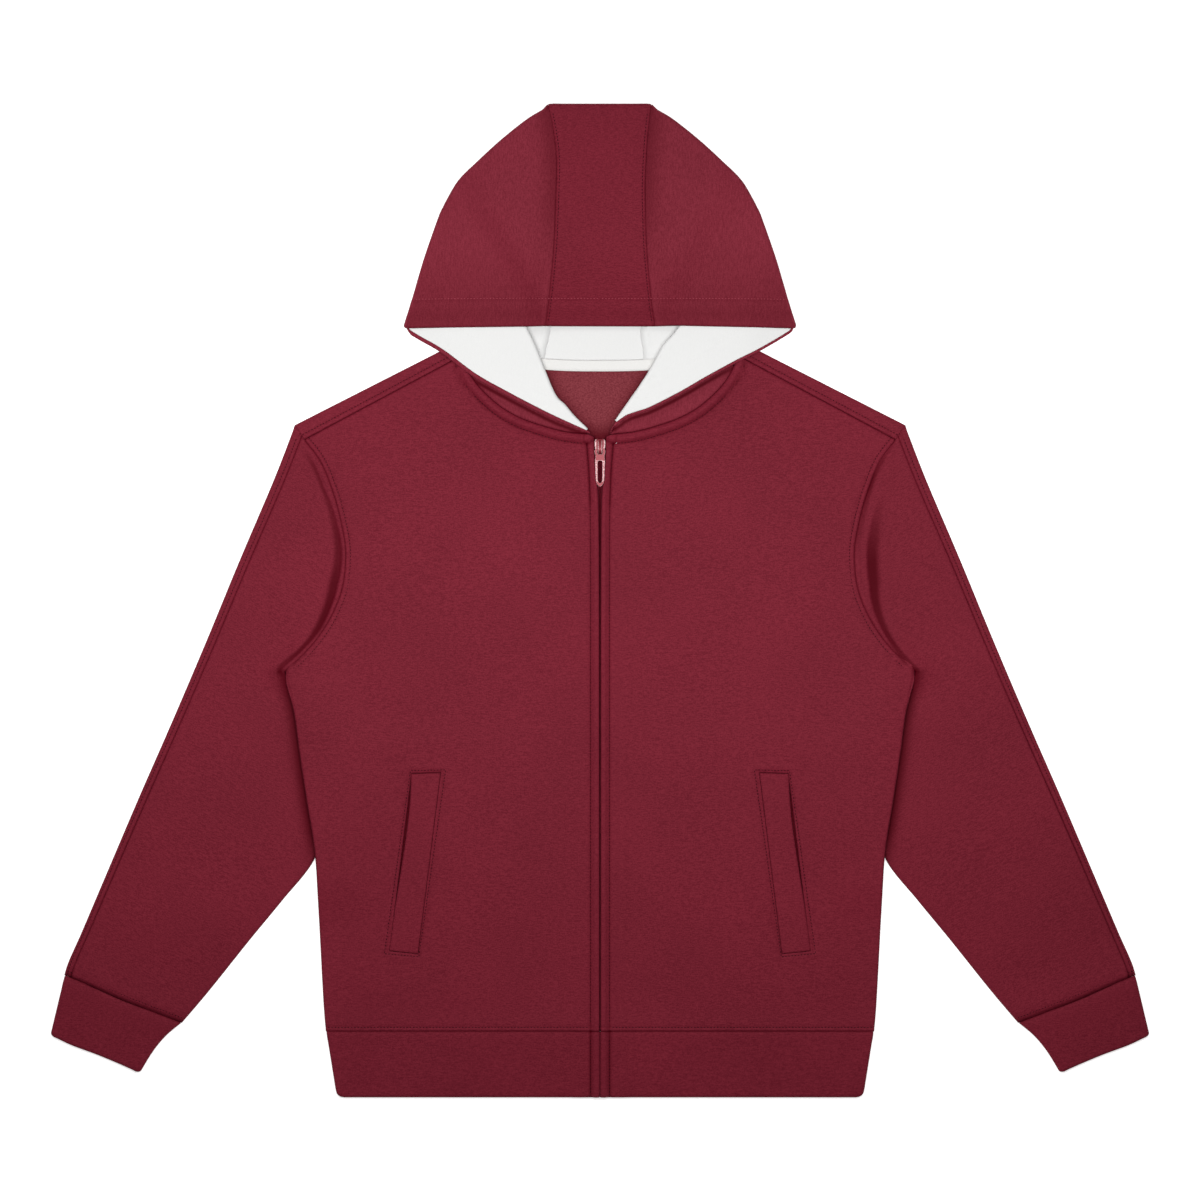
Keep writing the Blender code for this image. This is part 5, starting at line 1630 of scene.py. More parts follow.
    def build(self) -> None:
        """Builds both sleeves and their stitching."""
        for side in Side:
            self.front(side)
            self.back(side)
            self.cuff(side)
            over = shifted(self.overarm_seam(even(60)), -4.0)
            self.threads.along(over[1:], self.top(side), side, lift=0.12)
            cuff_row = shifted(smooth(CUFF_SEAM, 20), 5.0)
            self.threads.along(cuff_row, self.top(side), side, lift=0.12)


# ---- hood

@dataclass(frozen=True)
class HoodLines:
    """Seam and fold lines of one side of the hood, as laid out."""

    crown_seam: Points
    crown_seam_top: Points
    back_seam: Points
    free_edge: Points
    lapel_fold: Points
    fold_under_crown: Points
    stitch: Points
    rim: Pair
    tip_y: float
    fleece_tip: float
    lining_tip: float


HOOD_LINES = {
    Side.LEFT: HoodLines(
        crown_seam=((52.0, 261.6), (47.8, 294.9), (43.6, 340.0), (42.2, 372.0)),
        crown_seam_top=((42.2, 372.0), (41.1, 417.7), (44.6, 449.0), (48.9, 469.2)),
        back_seam=((53.0, 223.6), (51.2, 238.0), (46.9, 259.1), (42.8, 310.0), (42.2, 372.0)),
        free_edge=((187.0, 260.5), (171.8, 251.1), (149.0, 237.8), (118.3, 215.0),
                   (89.0, 198.4), (56.9, 181.6), (30.1, 169.0), (14.3, 161.9), (9.0, 159.0)),
        lapel_fold=((9.0, 159.2), (14.3, 164.8), (23.4, 174.3), (32.8, 185.7), (42.2, 195.5),
                    (52.2, 219.0), (62.2, 244.5), (69.5, 259.4)),
        fold_under_crown=((69.5, 259.4), (92.0, 305.0), (116.0, 348.0), (131.5, 372.0)),
        stitch=((150.0, 272.0), (126.4, 253.8), (102.3, 234.5), (76.9, 216.4), (56.9, 203.0),
                (44.0, 197.0)),
        rim=(3.5, 0.9), tip_y=159.2, fleece_tip=0.0, lining_tip=4.3),
    Side.RIGHT: HoodLines(
        crown_seam=((52.4, 261.4), (49.1, 284.1), (44.4, 335.2), (43.0, 372.0)),
        crown_seam_top=((43.0, 372.0), (42.9, 400.0), (45.2, 440.0), (48.4, 469.2)),
        back_seam=((42.0, 222.8), (40.8, 238.0), (38.4, 259.1), (40.6, 310.0), (43.0, 372.0)),
        free_edge=((186.8, 260.2), (168.0, 248.5), (149.3, 237.8), (129.2, 227.7),
                   (101.2, 212.4), (74.5, 197.0), (47.8, 183.6), (37.1, 179.9), (25.7, 176.0),
                   (19.5, 172.0), (14.3, 168.2), (11.0, 166.0)),
        lapel_fold=((8.4, 158.0), (13.4, 168.0), (25.7, 187.4), (37.1, 203.6), (46.5, 218.0),
                    (53.1, 230.2), (61.1, 244.5), (74.5, 260.2)),
        fold_under_crown=((74.5, 260.2), (95.0, 305.0), (117.0, 348.0), (131.5, 372.0)),
        stitch=((150.0, 270.0), (126.6, 253.8), (101.2, 239.8), (74.5, 226.4), (45.0, 208.5)),
        rim=(2.4, 2.4), tip_y=167.5, fleece_tip=7.3, lining_tip=13.7),
}


@dataclass
class Hood:
    """The lined hood, folded flat: crown over turned-out lapels over the back."""

    finishes: Finishes
    threads: Stitches
    white_threads: Stitches
    brim_threads: Stitches
    silhouette: Points = ((187.0, 260.5), (179.0, 285.7), (167.6, 323.8), (154.3, 361.9),
                          (145.7, 381.0), (134.3, 400.0), (115.2, 419.0), (94.3, 438.1),
                          (70.5, 457.1), (55.2, 466.9), (50.4, 470.0))
    pleat_row: Pair = (150.2, 372.0)
    pleat_fold: Points = ((128.6, 248.6), (129.0, 272.0), (130.5, 300.0), (134.5, 335.0),
                          (141.0, 372.0))
    # Height of the back layer, radii of the folds, and rise and drop of the brim and corner.
    back_z: float = 1.55
    side_fold: float = 1.6
    lapel_fold: float = 1.9
    brim_bridge: float = 2.7
    corner_drop: float = 4.6
    # How far the lining ends inside the fleece: at the brim, the lapel's edge and the neck.
    lining_setback: float = 2.8
    lining_inset: float = 0.3
    lining_above_neck: float = 6.12
    # How far up the lapel its fold thins out, and to what part of itself.
    tip_reach: float = 24.0
    tip_size: float = 0.35
    brim_stitch: float = 25.0
    strip_stitch: float = 2.6
    brim: Points = ((0.0, 261.5), (60.0, 261.5), (187.0, 260.5))
    brim_y: float = 262.0
    brim_roll: float = 1.8
    pleat_edge: Points = ((133.0, 246.0), (147.0, 372.0))
    # Painted shadow under the lapel's free edge: its strength, where it starts and ends, and the
    # darkest painted shade there.
    lapel_shadow: float = 1.05
    shadow_span: Pair = (0.8, 3.8)
    darkest: float = 0.95

    @property
    def rise_z(self) -> float:
        """Height of the part that rises from the front neck seam."""
        return self.back_z + 2 * self.side_fold

    @property
    def fold_inset(self) -> float:
        """How far the side fold's start lies inside the silhouette."""
        return self.side_fold + HALF_GAP + FLEECE

    @property
    def lapel_z(self) -> float:
        """Height of the lapel folded back over it."""
        return self.rise_z + 2 * self.lapel_fold

    def lapel_height(self, xy: Array) -> Array:
        """Height of the lapel: level, then down to the hood's corner along one ramp."""
        x, y = np.abs(xy[..., 0]), xy[..., 1]
        xs, ys = zip(*self.pleat_edge)
        drop = smoothstep((x - np.interp(y, ys, xs)) / 52.0) * smoothstep((ys[1] - y) / 80.0)
        return self.lapel_z - self.corner_drop * drop

    def tip_ease(self, xy: Array, side: Side) -> Array:
        """How full the lapel's fold is: a small part of itself at the lapel's tip, then 1."""
        above = (xy[..., 1] - HOOD_LINES[side].tip_y) / self.tip_reach
        return self.tip_size + (1.0 - self.tip_size) * smoothstep(above)

    def lapel_form(self, xy: Array, side: Side, lining: bool) -> Array:
        """Height of the lapel's middle: its fold, eased to the tip, a rim or the stitch line.

        Args:
            xy: places in plan, x and y last.
            side: the side it is on.
            lining: whether the lining is meant.

        Returns:
            The height at each place.
        """
        table = HOOD_LINES[side]
        right = mirrored(xy)
        free = aside(smooth(table.free_edge, 60), right)
        height = self.rise_z + (self.lapel_height(right) - self.rise_z) \
            * self.tip_ease(right, side)
        if not lining:
            return height + 0.9 * bell(free - 1.3, 1.6)
        stitch = aside(smooth(table.stitch, 24), right)
        height = height - 0.3 * bell(stitch, 1.5) + 0.25 * bell(np.abs(stitch) - 3.6, 2.2)
        loose = smoothstep(np.abs(free) / 20.0) * smoothstep((right[..., 0] - 60.0) / 40.0)
        return height + 0.9 * swell(right, 30.0, 0.7) * loose

    def crown_height(self, xy: Array, side: Side) -> Array:
        """Height of the crown: on the lapels at its sides, sagging to the back between them.

        Args:
            xy: places in plan, x and y last.
            side: the side it is on.

        Returns:
            The height at each place.
        """
        x, y = np.abs(xy[..., 0]), xy[..., 1]
        under = smooth(HOOD_LINES[side].fold_under_crown, 40)
        edge = np.interp(y, under[:, 1], under[:, 0])
        resting = self.rise_z + self.brim_bridge * (1 - smoothstep((y - self.brim_y) / 70.0))
        on_lapel = self.lapel_height(xy) + 2 * self.side_fold
        beyond = 1 - smoothstep((y - self.pleat_row[1]) / 45.0)
        over = smoothstep((x - (edge - 32.0)) / 30.0) * beyond
        return resting + (on_lapel - resting) * over

    def rails(self, side: Side, lining: bool) -> dict[str, Array]:
        """Curves up the hood's side, from its lower edge to the row where the pleat ends.

        Args:
            side: the side it is on.
            lining: whether the lining is meant.

        Returns:
            The curves by name.
        """
        table = HOOD_LINES[side]
        rows = graded(118.0, 2.8, 0.85, 0.0, 23.0)
        silhouette = self.silhouette[:4] + (self.pleat_row,)
        lapel = spline(table.lapel_fold + table.fold_under_crown[1:], rows)
        lapel_inset = (self.lapel_fold + HALF_GAP + LINING) * self.tip_ease(lapel, side)[:, None]
        rails = {
            "crown": spline(table.crown_seam, rows) + [HALF_GAP, 0.0],
            "side": shifted(spline(silhouette, rows), -self.fold_inset),
            "lapel": lapel + lapel_inset * normals_of(lapel, -1.0),
            "under": spline(table.fold_under_crown, rows),
            "pleat": spline(self.pleat_fold, rows),
            "back": spline(table.back_seam, rows) + [HALF_GAP, 0.0],
        }
        rails["front"] = rails["lapel"]
        tip = table.lining_tip if lining else table.fleece_tip
        short = {"lapel": tip}
        if lining:
            short.update(crown=self.lining_setback, side=self.lining_setback,
                         under=self.lining_setback, front=tip, pleat=self.lining_above_neck,
                         back=self.lining_above_neck)
        for name, distance in short.items():
            rail = rails[name]
            steps = np.linalg.norm(np.diff(rail, axis=0), axis=1)
            ahead = np.concatenate([[0.0], np.cumsum(steps)])
            at = distance + ahead * (ahead[-1] - distance) / ahead[-1]
            rails[name] = np.stack([np.interp(at, ahead, rail[:, k]) for k in (0, 1)], 1)
        return rails

    def crown_marks(self, xy: Array, side: Side) -> tuple[Array, Array]:
        """Relief and painted shade of the crown's cloth: strip seams, their stitching and the
        brim's hem.

        Args:
            xy: places in plan, x and y last.
            side: the side it is on.

        Returns:
            Height in mm and painted shade from 0 to 1 at each place.
        """
        table = HOOD_LINES[side]
        right = mirrored(xy)
        seam = join(smooth(table.crown_seam, 20), smooth(table.crown_seam_top, 20))
        lines = [Seam(seam, (Mark(0.0, 1.0, -0.5, 0.6), Mark(self.strip_stitch, 0.8, -0.3, 0.15),
                             Mark(6.0, 3.0, 0.25))),
                 Seam(np.array(self.brim), (Mark(self.brim_stitch, 0.9, -0.25, 0.05),
                             Mark(self.brim_stitch - 1.7, 1.0, -0.1, 0.1),
                             Mark(10.0, 6.0, 0.0, 0.08),
                             Mark(self.brim_stitch - 3.0, 2.0, 0.3)))]
        height, dark = relief_of(lines, right)
        away = aside(seam, right)
        # Painted shade near the brim, deeper on the side panels than on the strip.
        low = 0.15 + 0.15 * smoothstep((right[..., 0] - 50.0) / 10.0)
        dark = dark + low * (1 - smoothstep((right[..., 1] - self.brim_y) / 90.0))
        # In the upper half the side panel dips beside the strip, with painted shade in the dip.
        beyond = smoothstep(-away / 2.0) * smoothstep((right[..., 1] - 290.0) / 110.0)
        return height - 0.9 * beyond * bell(away, 12.0), dark + 0.45 * beyond * bell(away, 13.0)

    def lower(self, side: Side, lining: bool) -> tuple[Patch, Array, Array]:
        """Hood side up to the pleat's end: crown, fold, lapel, fold, front rise, fold, back.

        Args:
            side: the side it is on.
            lining: whether the lining is meant.

        Returns:
            The patch, and the last rows of its crown and its back.
        """
        table = HOOD_LINES[side]
        rails = self.rails(side, lining)
        setback = self.lining_setback if lining else 0.0

        def between(left: str, right: str, bottom: Array | None, steps: Array) -> Array:
            """Flat grid between two rails, with its own lower edge if it has one."""
            if bottom is None:
                bottom = straight(rails[left][0], rails[right][0], steps)
            bottom[0], bottom[-1] = rails[left][0], rails[right][0]
            top = straight(rails[left][-1], rails[right][-1], steps)
            return coons(bottom, top, rails[left], rails[right])

        def hemmed(curve: Array, left: str, right: str, steps: Array) -> Array:
            """A lower edge that follows a curve and ends on the two rails."""
            low, high = sorted((rails[left][0, 0], rails[right][0, 0]))
            inner = curve[(curve[:, 0] > low + 1.5) & (curve[:, 0] < high - 1.5)]
            return traced(np.vstack([rails[left][:1], inner, rails[right][:1]]), steps)

        # The layers in plan, each between its two rails.
        crown_steps = graded(50.0, 4.0, 0.8, 0.0, 5.0)
        side_steps = graded(70.0, 4.0, 0.0, 1.2, 5.0)
        rails["under"][:, 1] += 1.6 * bell(rails["under"][:, 1] - rails["under"][0, 1], 20.0)
        crown = np.concatenate([between("crown", "under", None, crown_steps),
                                between("under", "side", None, side_steps)[:, 1:]], axis=1)
        lapel_steps = graded(195.0, 2.2 if lining else 4.2, 1.1, 0.7, 5.0)
        free = smooth(table.free_edge, 120)
        rim = np.interp(free[:, 1] - free[-1, 1], [0.0, 14.0], table.rim[::-1])
        inward = np.full(len(free), self.lining_inset) if lining else -rim
        free_edge = free + normals_of(free, -1.0) * inward[:, None]
        lapel = between("side", "lapel", hemmed(free_edge, "side", "lapel", lapel_steps),
                        lapel_steps)
        rise_steps = graded(150.0, 3.6)
        neck = shifted(smooth(FRONT_NECK, 120), -HALF_GAP - setback)
        rise = between("front", "pleat", hemmed(neck, "front", "pleat", rise_steps), rise_steps)
        back_steps = graded(78.0, 6.0)
        xs = NECK_POINT[0] + (table.back_seam[0][0] - NECK_POINT[0]) * back_steps
        above = self.lining_above_neck if lining else HALF_GAP
        back = between("pleat", "back", np.stack([xs, back_neck(xs) + above], axis=1), back_steps)

        # Their heights and the shade painted on them.
        relief, crown_dark = self.crown_marks(crown, side)
        brim_edge = np.linalg.norm(crown - crown[:1], axis=-1)
        crown_z = self.crown_height(crown, side)
        if lining:
            relief, crown_dark = 0.0 * relief, 0.0 * crown_dark
        else:
            relief = relief - roll(brim_edge, self.brim_roll)
        crown = raised(crown, crown_z + relief)
        lapel = raised(lapel, self.lapel_form(lapel, side, lining))
        past = aside(free_edge, rise)
        seam_above = aside(neck, rise)
        # Painted shadow under the lapel's free edge, a softer painted shade beyond it, and painted
        # shade in the neck seam.
        rise_dark = self.lapel_shadow * trench(np.abs(past), *self.shadow_span)
        rise_dark = rise_dark + 0.15 * bell(np.abs(past) - 6.0, 4.0)
        rise_dark = np.minimum(rise_dark + 0.5 * bell(seam_above, 1.2), self.darkest)
        rise = raised(rise, self.rise_z)
        back = raised(back, self.back_z)
        # The folds that join them, from the crown round to the back.
        fold_a = half_turn(crown[:, -1], lapel[:, 0], normals_of(rails["side"], -1.0), 8)
        fold_b = half_turn(lapel[:, -1], rise[:, 0], normals_of(rails["lapel"], 1.0), 8)
        fold_c = half_turn(rise[:, -1], back[:, 0], normals_of(rails["pleat"], -1.0), 5)
        columns = (columns_of(crown) + fold_a + columns_of(lapel) + fold_b
                   + columns_of(rise) + fold_c + columns_of(back))
        points = np.stack(columns, axis=1)
        dark = np.zeros(points.shape[:2])
        dark[:, :crown.shape[1]] = crown_dark
        first = crown.shape[1] + len(fold_a) + lapel.shape[1] + len(fold_b)
        if not lining:
            dark[:, first:first + rise.shape[1]] = rise_dark
        return Patch(points, dark), crown[-1], back[-1]

    def top_seam(self, side: Side) -> Array:
        """The strip's seam from the pleat's end to the top of the crown."""
        return spline(HOOD_LINES[side].crown_seam_top, graded(98.0, 3.6)) + [HALF_GAP, 0.0]

    def upper(self, side: Side, crown_row: Array, back_row: Array, lining: bool) -> Patch:
        """Hood side from the pleat's end to the top: the crown folds straight to the back.

        Args:
            side: the side it is on.
            crown_row: last row of the lower crown.
            back_row: last row of the lower back.
            lining: whether the lining is meant.

        Returns:
            The patch.
        """
        seam = self.top_seam(side)
        outline = (self.pleat_row,) + self.silhouette[4:]
        edge = shifted(spline(outline, graded(98.0, 3.6)), -self.fold_inset)
        edge[0], edge[-1] = crown_row[-1, :2], seam[-1]
        steps = travel(crown_row[:, :2], crown_row[:, :2])
        back_steps = travel(back_row[:, :2], back_row[:, :2])
        crown = coons(crown_row[:, :2], straight(seam[-1], edge[-1], steps), seam, edge)
        first_row = np.vstack([edge[:1], back_row[1:, :2]])
        back = coons(first_row, straight(edge[-1], seam[-1], back_steps), edge, seam)
        relief, dark = self.crown_marks(crown, side)
        if lining:
            relief, dark = 0.0 * relief, 0.0 * dark
        crown = raised(crown, self.crown_height(crown, side) + relief)
        crown[0] = crown_row
        back = raised(back, self.back_z)
        outward = normals_of(edge, -1.0)
        outward[-1] = [0.0, 1.0]
        fold = half_turn(crown[:, -1], back[:, 0], outward, 8, self.side_fold)
        points = np.stack(columns_of(crown) + fold + columns_of(back), axis=1)
        shade = np.zeros(points.shape[:2])
        shade[:, :crown.shape[1]] = dark
        return Patch(points, shade)

    def side_panel(self, side: Side) -> None:
        """A hood side in fleece, and its lining on the inner side of the same folds.

        Args:
            side: the side it is on.
        """
        kinds = (("hood_side_", [self.finishes.fleece_upright_painted_sheen], FLEECE, 1, "fleece"),
                 ("hood_lining_", [self.finishes.lining, self.finishes.lining_reverse][::-1],
                  LINING, -1, "hood_lining"))
        for name, finishes, thick, shift, slot in kinds:
            lower, crown_row, back_row = self.lower(side, shift < 0)
            upper = self.upper(side, crown_row, back_row, shift < 0)
            cloth(name + side.value, [lower, upper], finishes,
                  thick=thick,
                  shift=shift * (HALF_GAP + thick / 2), side=side)

    def centre_surface(self, lining: bool) -> Patch:
        """Middle surface of the strip over the head: brim, crown, top fold, back, neck.

        Args:
            lining: whether the lining is meant.

        Returns:
            The patch.
        """
        above = self.lining_above_neck if lining else 0.0
        rails: dict[Side, tuple[Array, Array]] = {}
        for side in Side:
            own, top = self.rails(side, lining), self.top_seam(side)
            rows = np.linspace(0.0, 1.0, len(own["crown"]) + len(top) - 1)
            slack = 2.0 * rows ** 6 if lining else np.full(len(rows), SEAM_GAP)
            inward = np.column_stack([slack, 0.0 * rows])
            rails[side] = (join(own["crown"], top) - inward, join(own["back"], top) - inward)
        steps = graded(95.0, 4.0, 0.8, 0.8, 5.0)
        layers = []
        for layer in (0, 1):
            left = rails[Side.LEFT][layer] * [-1.0, 1.0]
            right = rails[Side.RIGHT][layer]
            bottom = straight(left[0], right[0], steps)
            if layer == 1:
                bottom[:, 1] = back_neck(bottom[:, 0]) + HALF_GAP + above
                bottom[0], bottom[-1] = left[0], right[0]
            layers.append(coons(bottom, straight(left[-1], right[-1], steps), left, right))
        # The crown takes its height and its marks from the side panel on each hand.
        crown = layers[0]
        left_z, right_z = (self.crown_height(crown, side) for side in Side)
        height = np.where(crown[..., 0] < 0, left_z, right_z)
        dark = np.zeros(crown.shape[:2])
        if not lining:
            for side in Side:
                relief, darker = self.crown_marks(crown, side)
                own = crown[..., 0] * side.sign > 0
                height, dark = height + relief * own, dark + darker * own
            height = height - roll(np.linalg.norm(crown - crown[:1], axis=-1), self.brim_roll)
        crown = raised(crown, height)
        back = raised(layers[1], self.back_z)
        fold = half_turn(crown[-1], back[-1], np.tile([0.0, 1.0], (crown.shape[1], 1)), 8)
        points = np.stack(list(crown) + fold + list(back[::-1]))
        shade = np.zeros(points.shape[:2])
        shade[:len(crown)] = dark
        return Patch(points, shade)

    def centre(self) -> None:
        """The strip over the head and its lining."""
        kinds = (("hood_centre", [self.finishes.fleece, self.finishes.reverse], FLEECE, 1,
                  "fleece"),
                 ("hood_lining_centre",
                  [self.finishes.lining_reverse, self.finishes.lining], LINING, -1,
                  "hood_lining"))
        for name, finishes, thick, shift, slot in kinds:
            cloth(name, [self.centre_surface(shift < 0)], finishes,
                  thick=thick,
                  shift=shift * (HALF_GAP + thick / 2))

    def neck_tape(self) -> None:
        """The woven tape over the back neck seam inside, with its zigzag stitching."""
        span, width, below = 96.0, 10.5, 4.4
        top = FLEECE + SEAM_GAP + TAPE + 0.08
        xs = np.linspace(-span, span, 97)
        across = even(8)
        grid = np.stack([np.broadcast_to(xs, (len(across), len(xs))),
                         back_neck(xs)[None] - below + width * across[:, None]], axis=-1)
        loft = 0.2 * bell(width * (across - 0.5), 3.0)[:, None]
        height = FLEECE + SEAM_GAP + TAPE / 2 + loft
        # Painted shade along the tape's stitching.
        dark = 0.12 * bell(width * across - 1.6, 0.8)[:, None]
        cloth("neck_tape", [Patch(raised(grid, height), dark)], [self.finishes.tape],
              thick=TAPE)
        row = np.stack([xs, back_neck(xs) - below + 1.3], axis=1)
        self.white_threads.along(row, lambda xy: np.full(xy.shape[:-1], top), Side.RIGHT,
                                 zigzag=0.9)

    def crown_top(self, side: Side) -> Height:
        """Top of the crown's cloth on one side, for its stitching."""
        def top(xy: Array) -> Array:
            """Crown height, relief and the wall above them."""
            return self.crown_height(xy, side) + self.crown_marks(xy, side)[0] + HALF_GAP + FLEECE
        return top

    def lapel_top(self, side: Side) -> Height:
        """Top of the lining on the turned-out lapel of one side, for its stitching."""
        return lambda xy: self.lapel_form(xy, side, True) + HALF_GAP + LINING

    def topstitch(self) -> None:
        """Rows along the strip's seams, the brim's hem and the lapels."""
        for side in Side:
            table = HOOD_LINES[side]
            seam = join(smooth(table.crown_seam, 30), smooth(table.crown_seam_top, 30))
            top = self.crown_top(side)
            self.threads.along(shifted(seam, -self.strip_stitch)[1:-2], top, side, lift=0.1)
            brim = np.array([[1.0, 261.5], [60.0, 261.5], [176.0, 260.7]])
            self.brim_threads.along(shifted(smooth(brim, 30), -self.brim_stitch), top,
                                    side, lift=0.05)
            row = smooth(table.stitch, 40)
            self.white_threads.along(row[row[:, 1] < 259.0], self.lapel_top(side), side, lift=0.05)

    def build(self) -> None:
        """Builds the hood."""
        for side in Side:
            self.side_panel(side)
        self.centre()
        self.neck_tape()
        self.topstitch()


# ---- zip

def loft_mesh(name: str, rings: Array, edges: Array) -> bpy.types.Mesh:
    """A closed solid from rings of points, capped, with how near an edge each point lies.

    Args:
        name: the mesh's name.
        rings: rings of as many points each, in mm.
        edges: 1 on an edge and 0 on a flat, for each point.

    Returns:
        The mesh.
    """
    count, sides = rings.shape[:2]
    index = np.arange(count * sides).reshape(count, sides)
    after = np.roll(index, -1, axis=1)
    quads = np.stack([index[:-1], after[:-1], after[1:], index[1:]], axis=-1).reshape(-1, 4)
    caps = [tuple(index[0, ::-1].tolist()), tuple(index[-1].tolist())]
    mesh = bpy.data.meshes.new(name)
    mesh.from_pydata((rings.reshape(-1, 3) * MM).tolist(), [],
                     [tuple(quad) for quad in quads.tolist()] + caps)
    with editing(mesh) as work:
        bmesh.ops.recalc_face_normals(work, faces=work.faces)
    layer = mesh.attributes.new("edge", "FLOAT", "POINT")
    layer.data.foreach_set("value", edges.ravel().astype(np.float32))
    mesh.shade_smooth()
    return mesh


def rounded_ring(half_width: float, half_height: float, sides: int) -> tuple[Array, Array]:
    """A rounded rectangle: width cos^0.4, height sin^0.4, and how near a corner each point is.

    Args:
        half_width: half its width.
        half_height: half its height.
        sides: points round it.

    Returns:
        The ring, and how near a corner each point is.
    """
    turn = (np.arange(sides) + 0.5) * math.tau / sides
    power = 0.4
    ring = np.stack([half_width * np.sign(np.cos(turn)) * np.abs(np.cos(turn)) ** power,
                     half_height * np.sign(np.sin(turn)) * np.abs(np.sin(turn)) ** power], axis=1)
    return ring, np.abs(np.sin(2 * turn)) ** 2


def sections_mesh(name: str, stations: Points, middle: float, sides: int) -> bpy.types.Mesh:
    """A solid of rounded sections along Y.

    Args:
        name: the mesh's name.
        stations: y, half width and half height of each section.
        middle: height of its middle.
        sides: points round a section.

    Returns:
        The mesh.
    """
    rings, edges = [], []
    for y, half_width, half_height in stations:
        ring, edge = rounded_ring(half_width, half_height, sides)
        rings.append(np.column_stack([ring[:, 0], np.full(sides, y), middle + ring[:, 1]]))
        edges.append(edge)
    return loft_mesh(name, np.stack(rings), np.stack(edges))


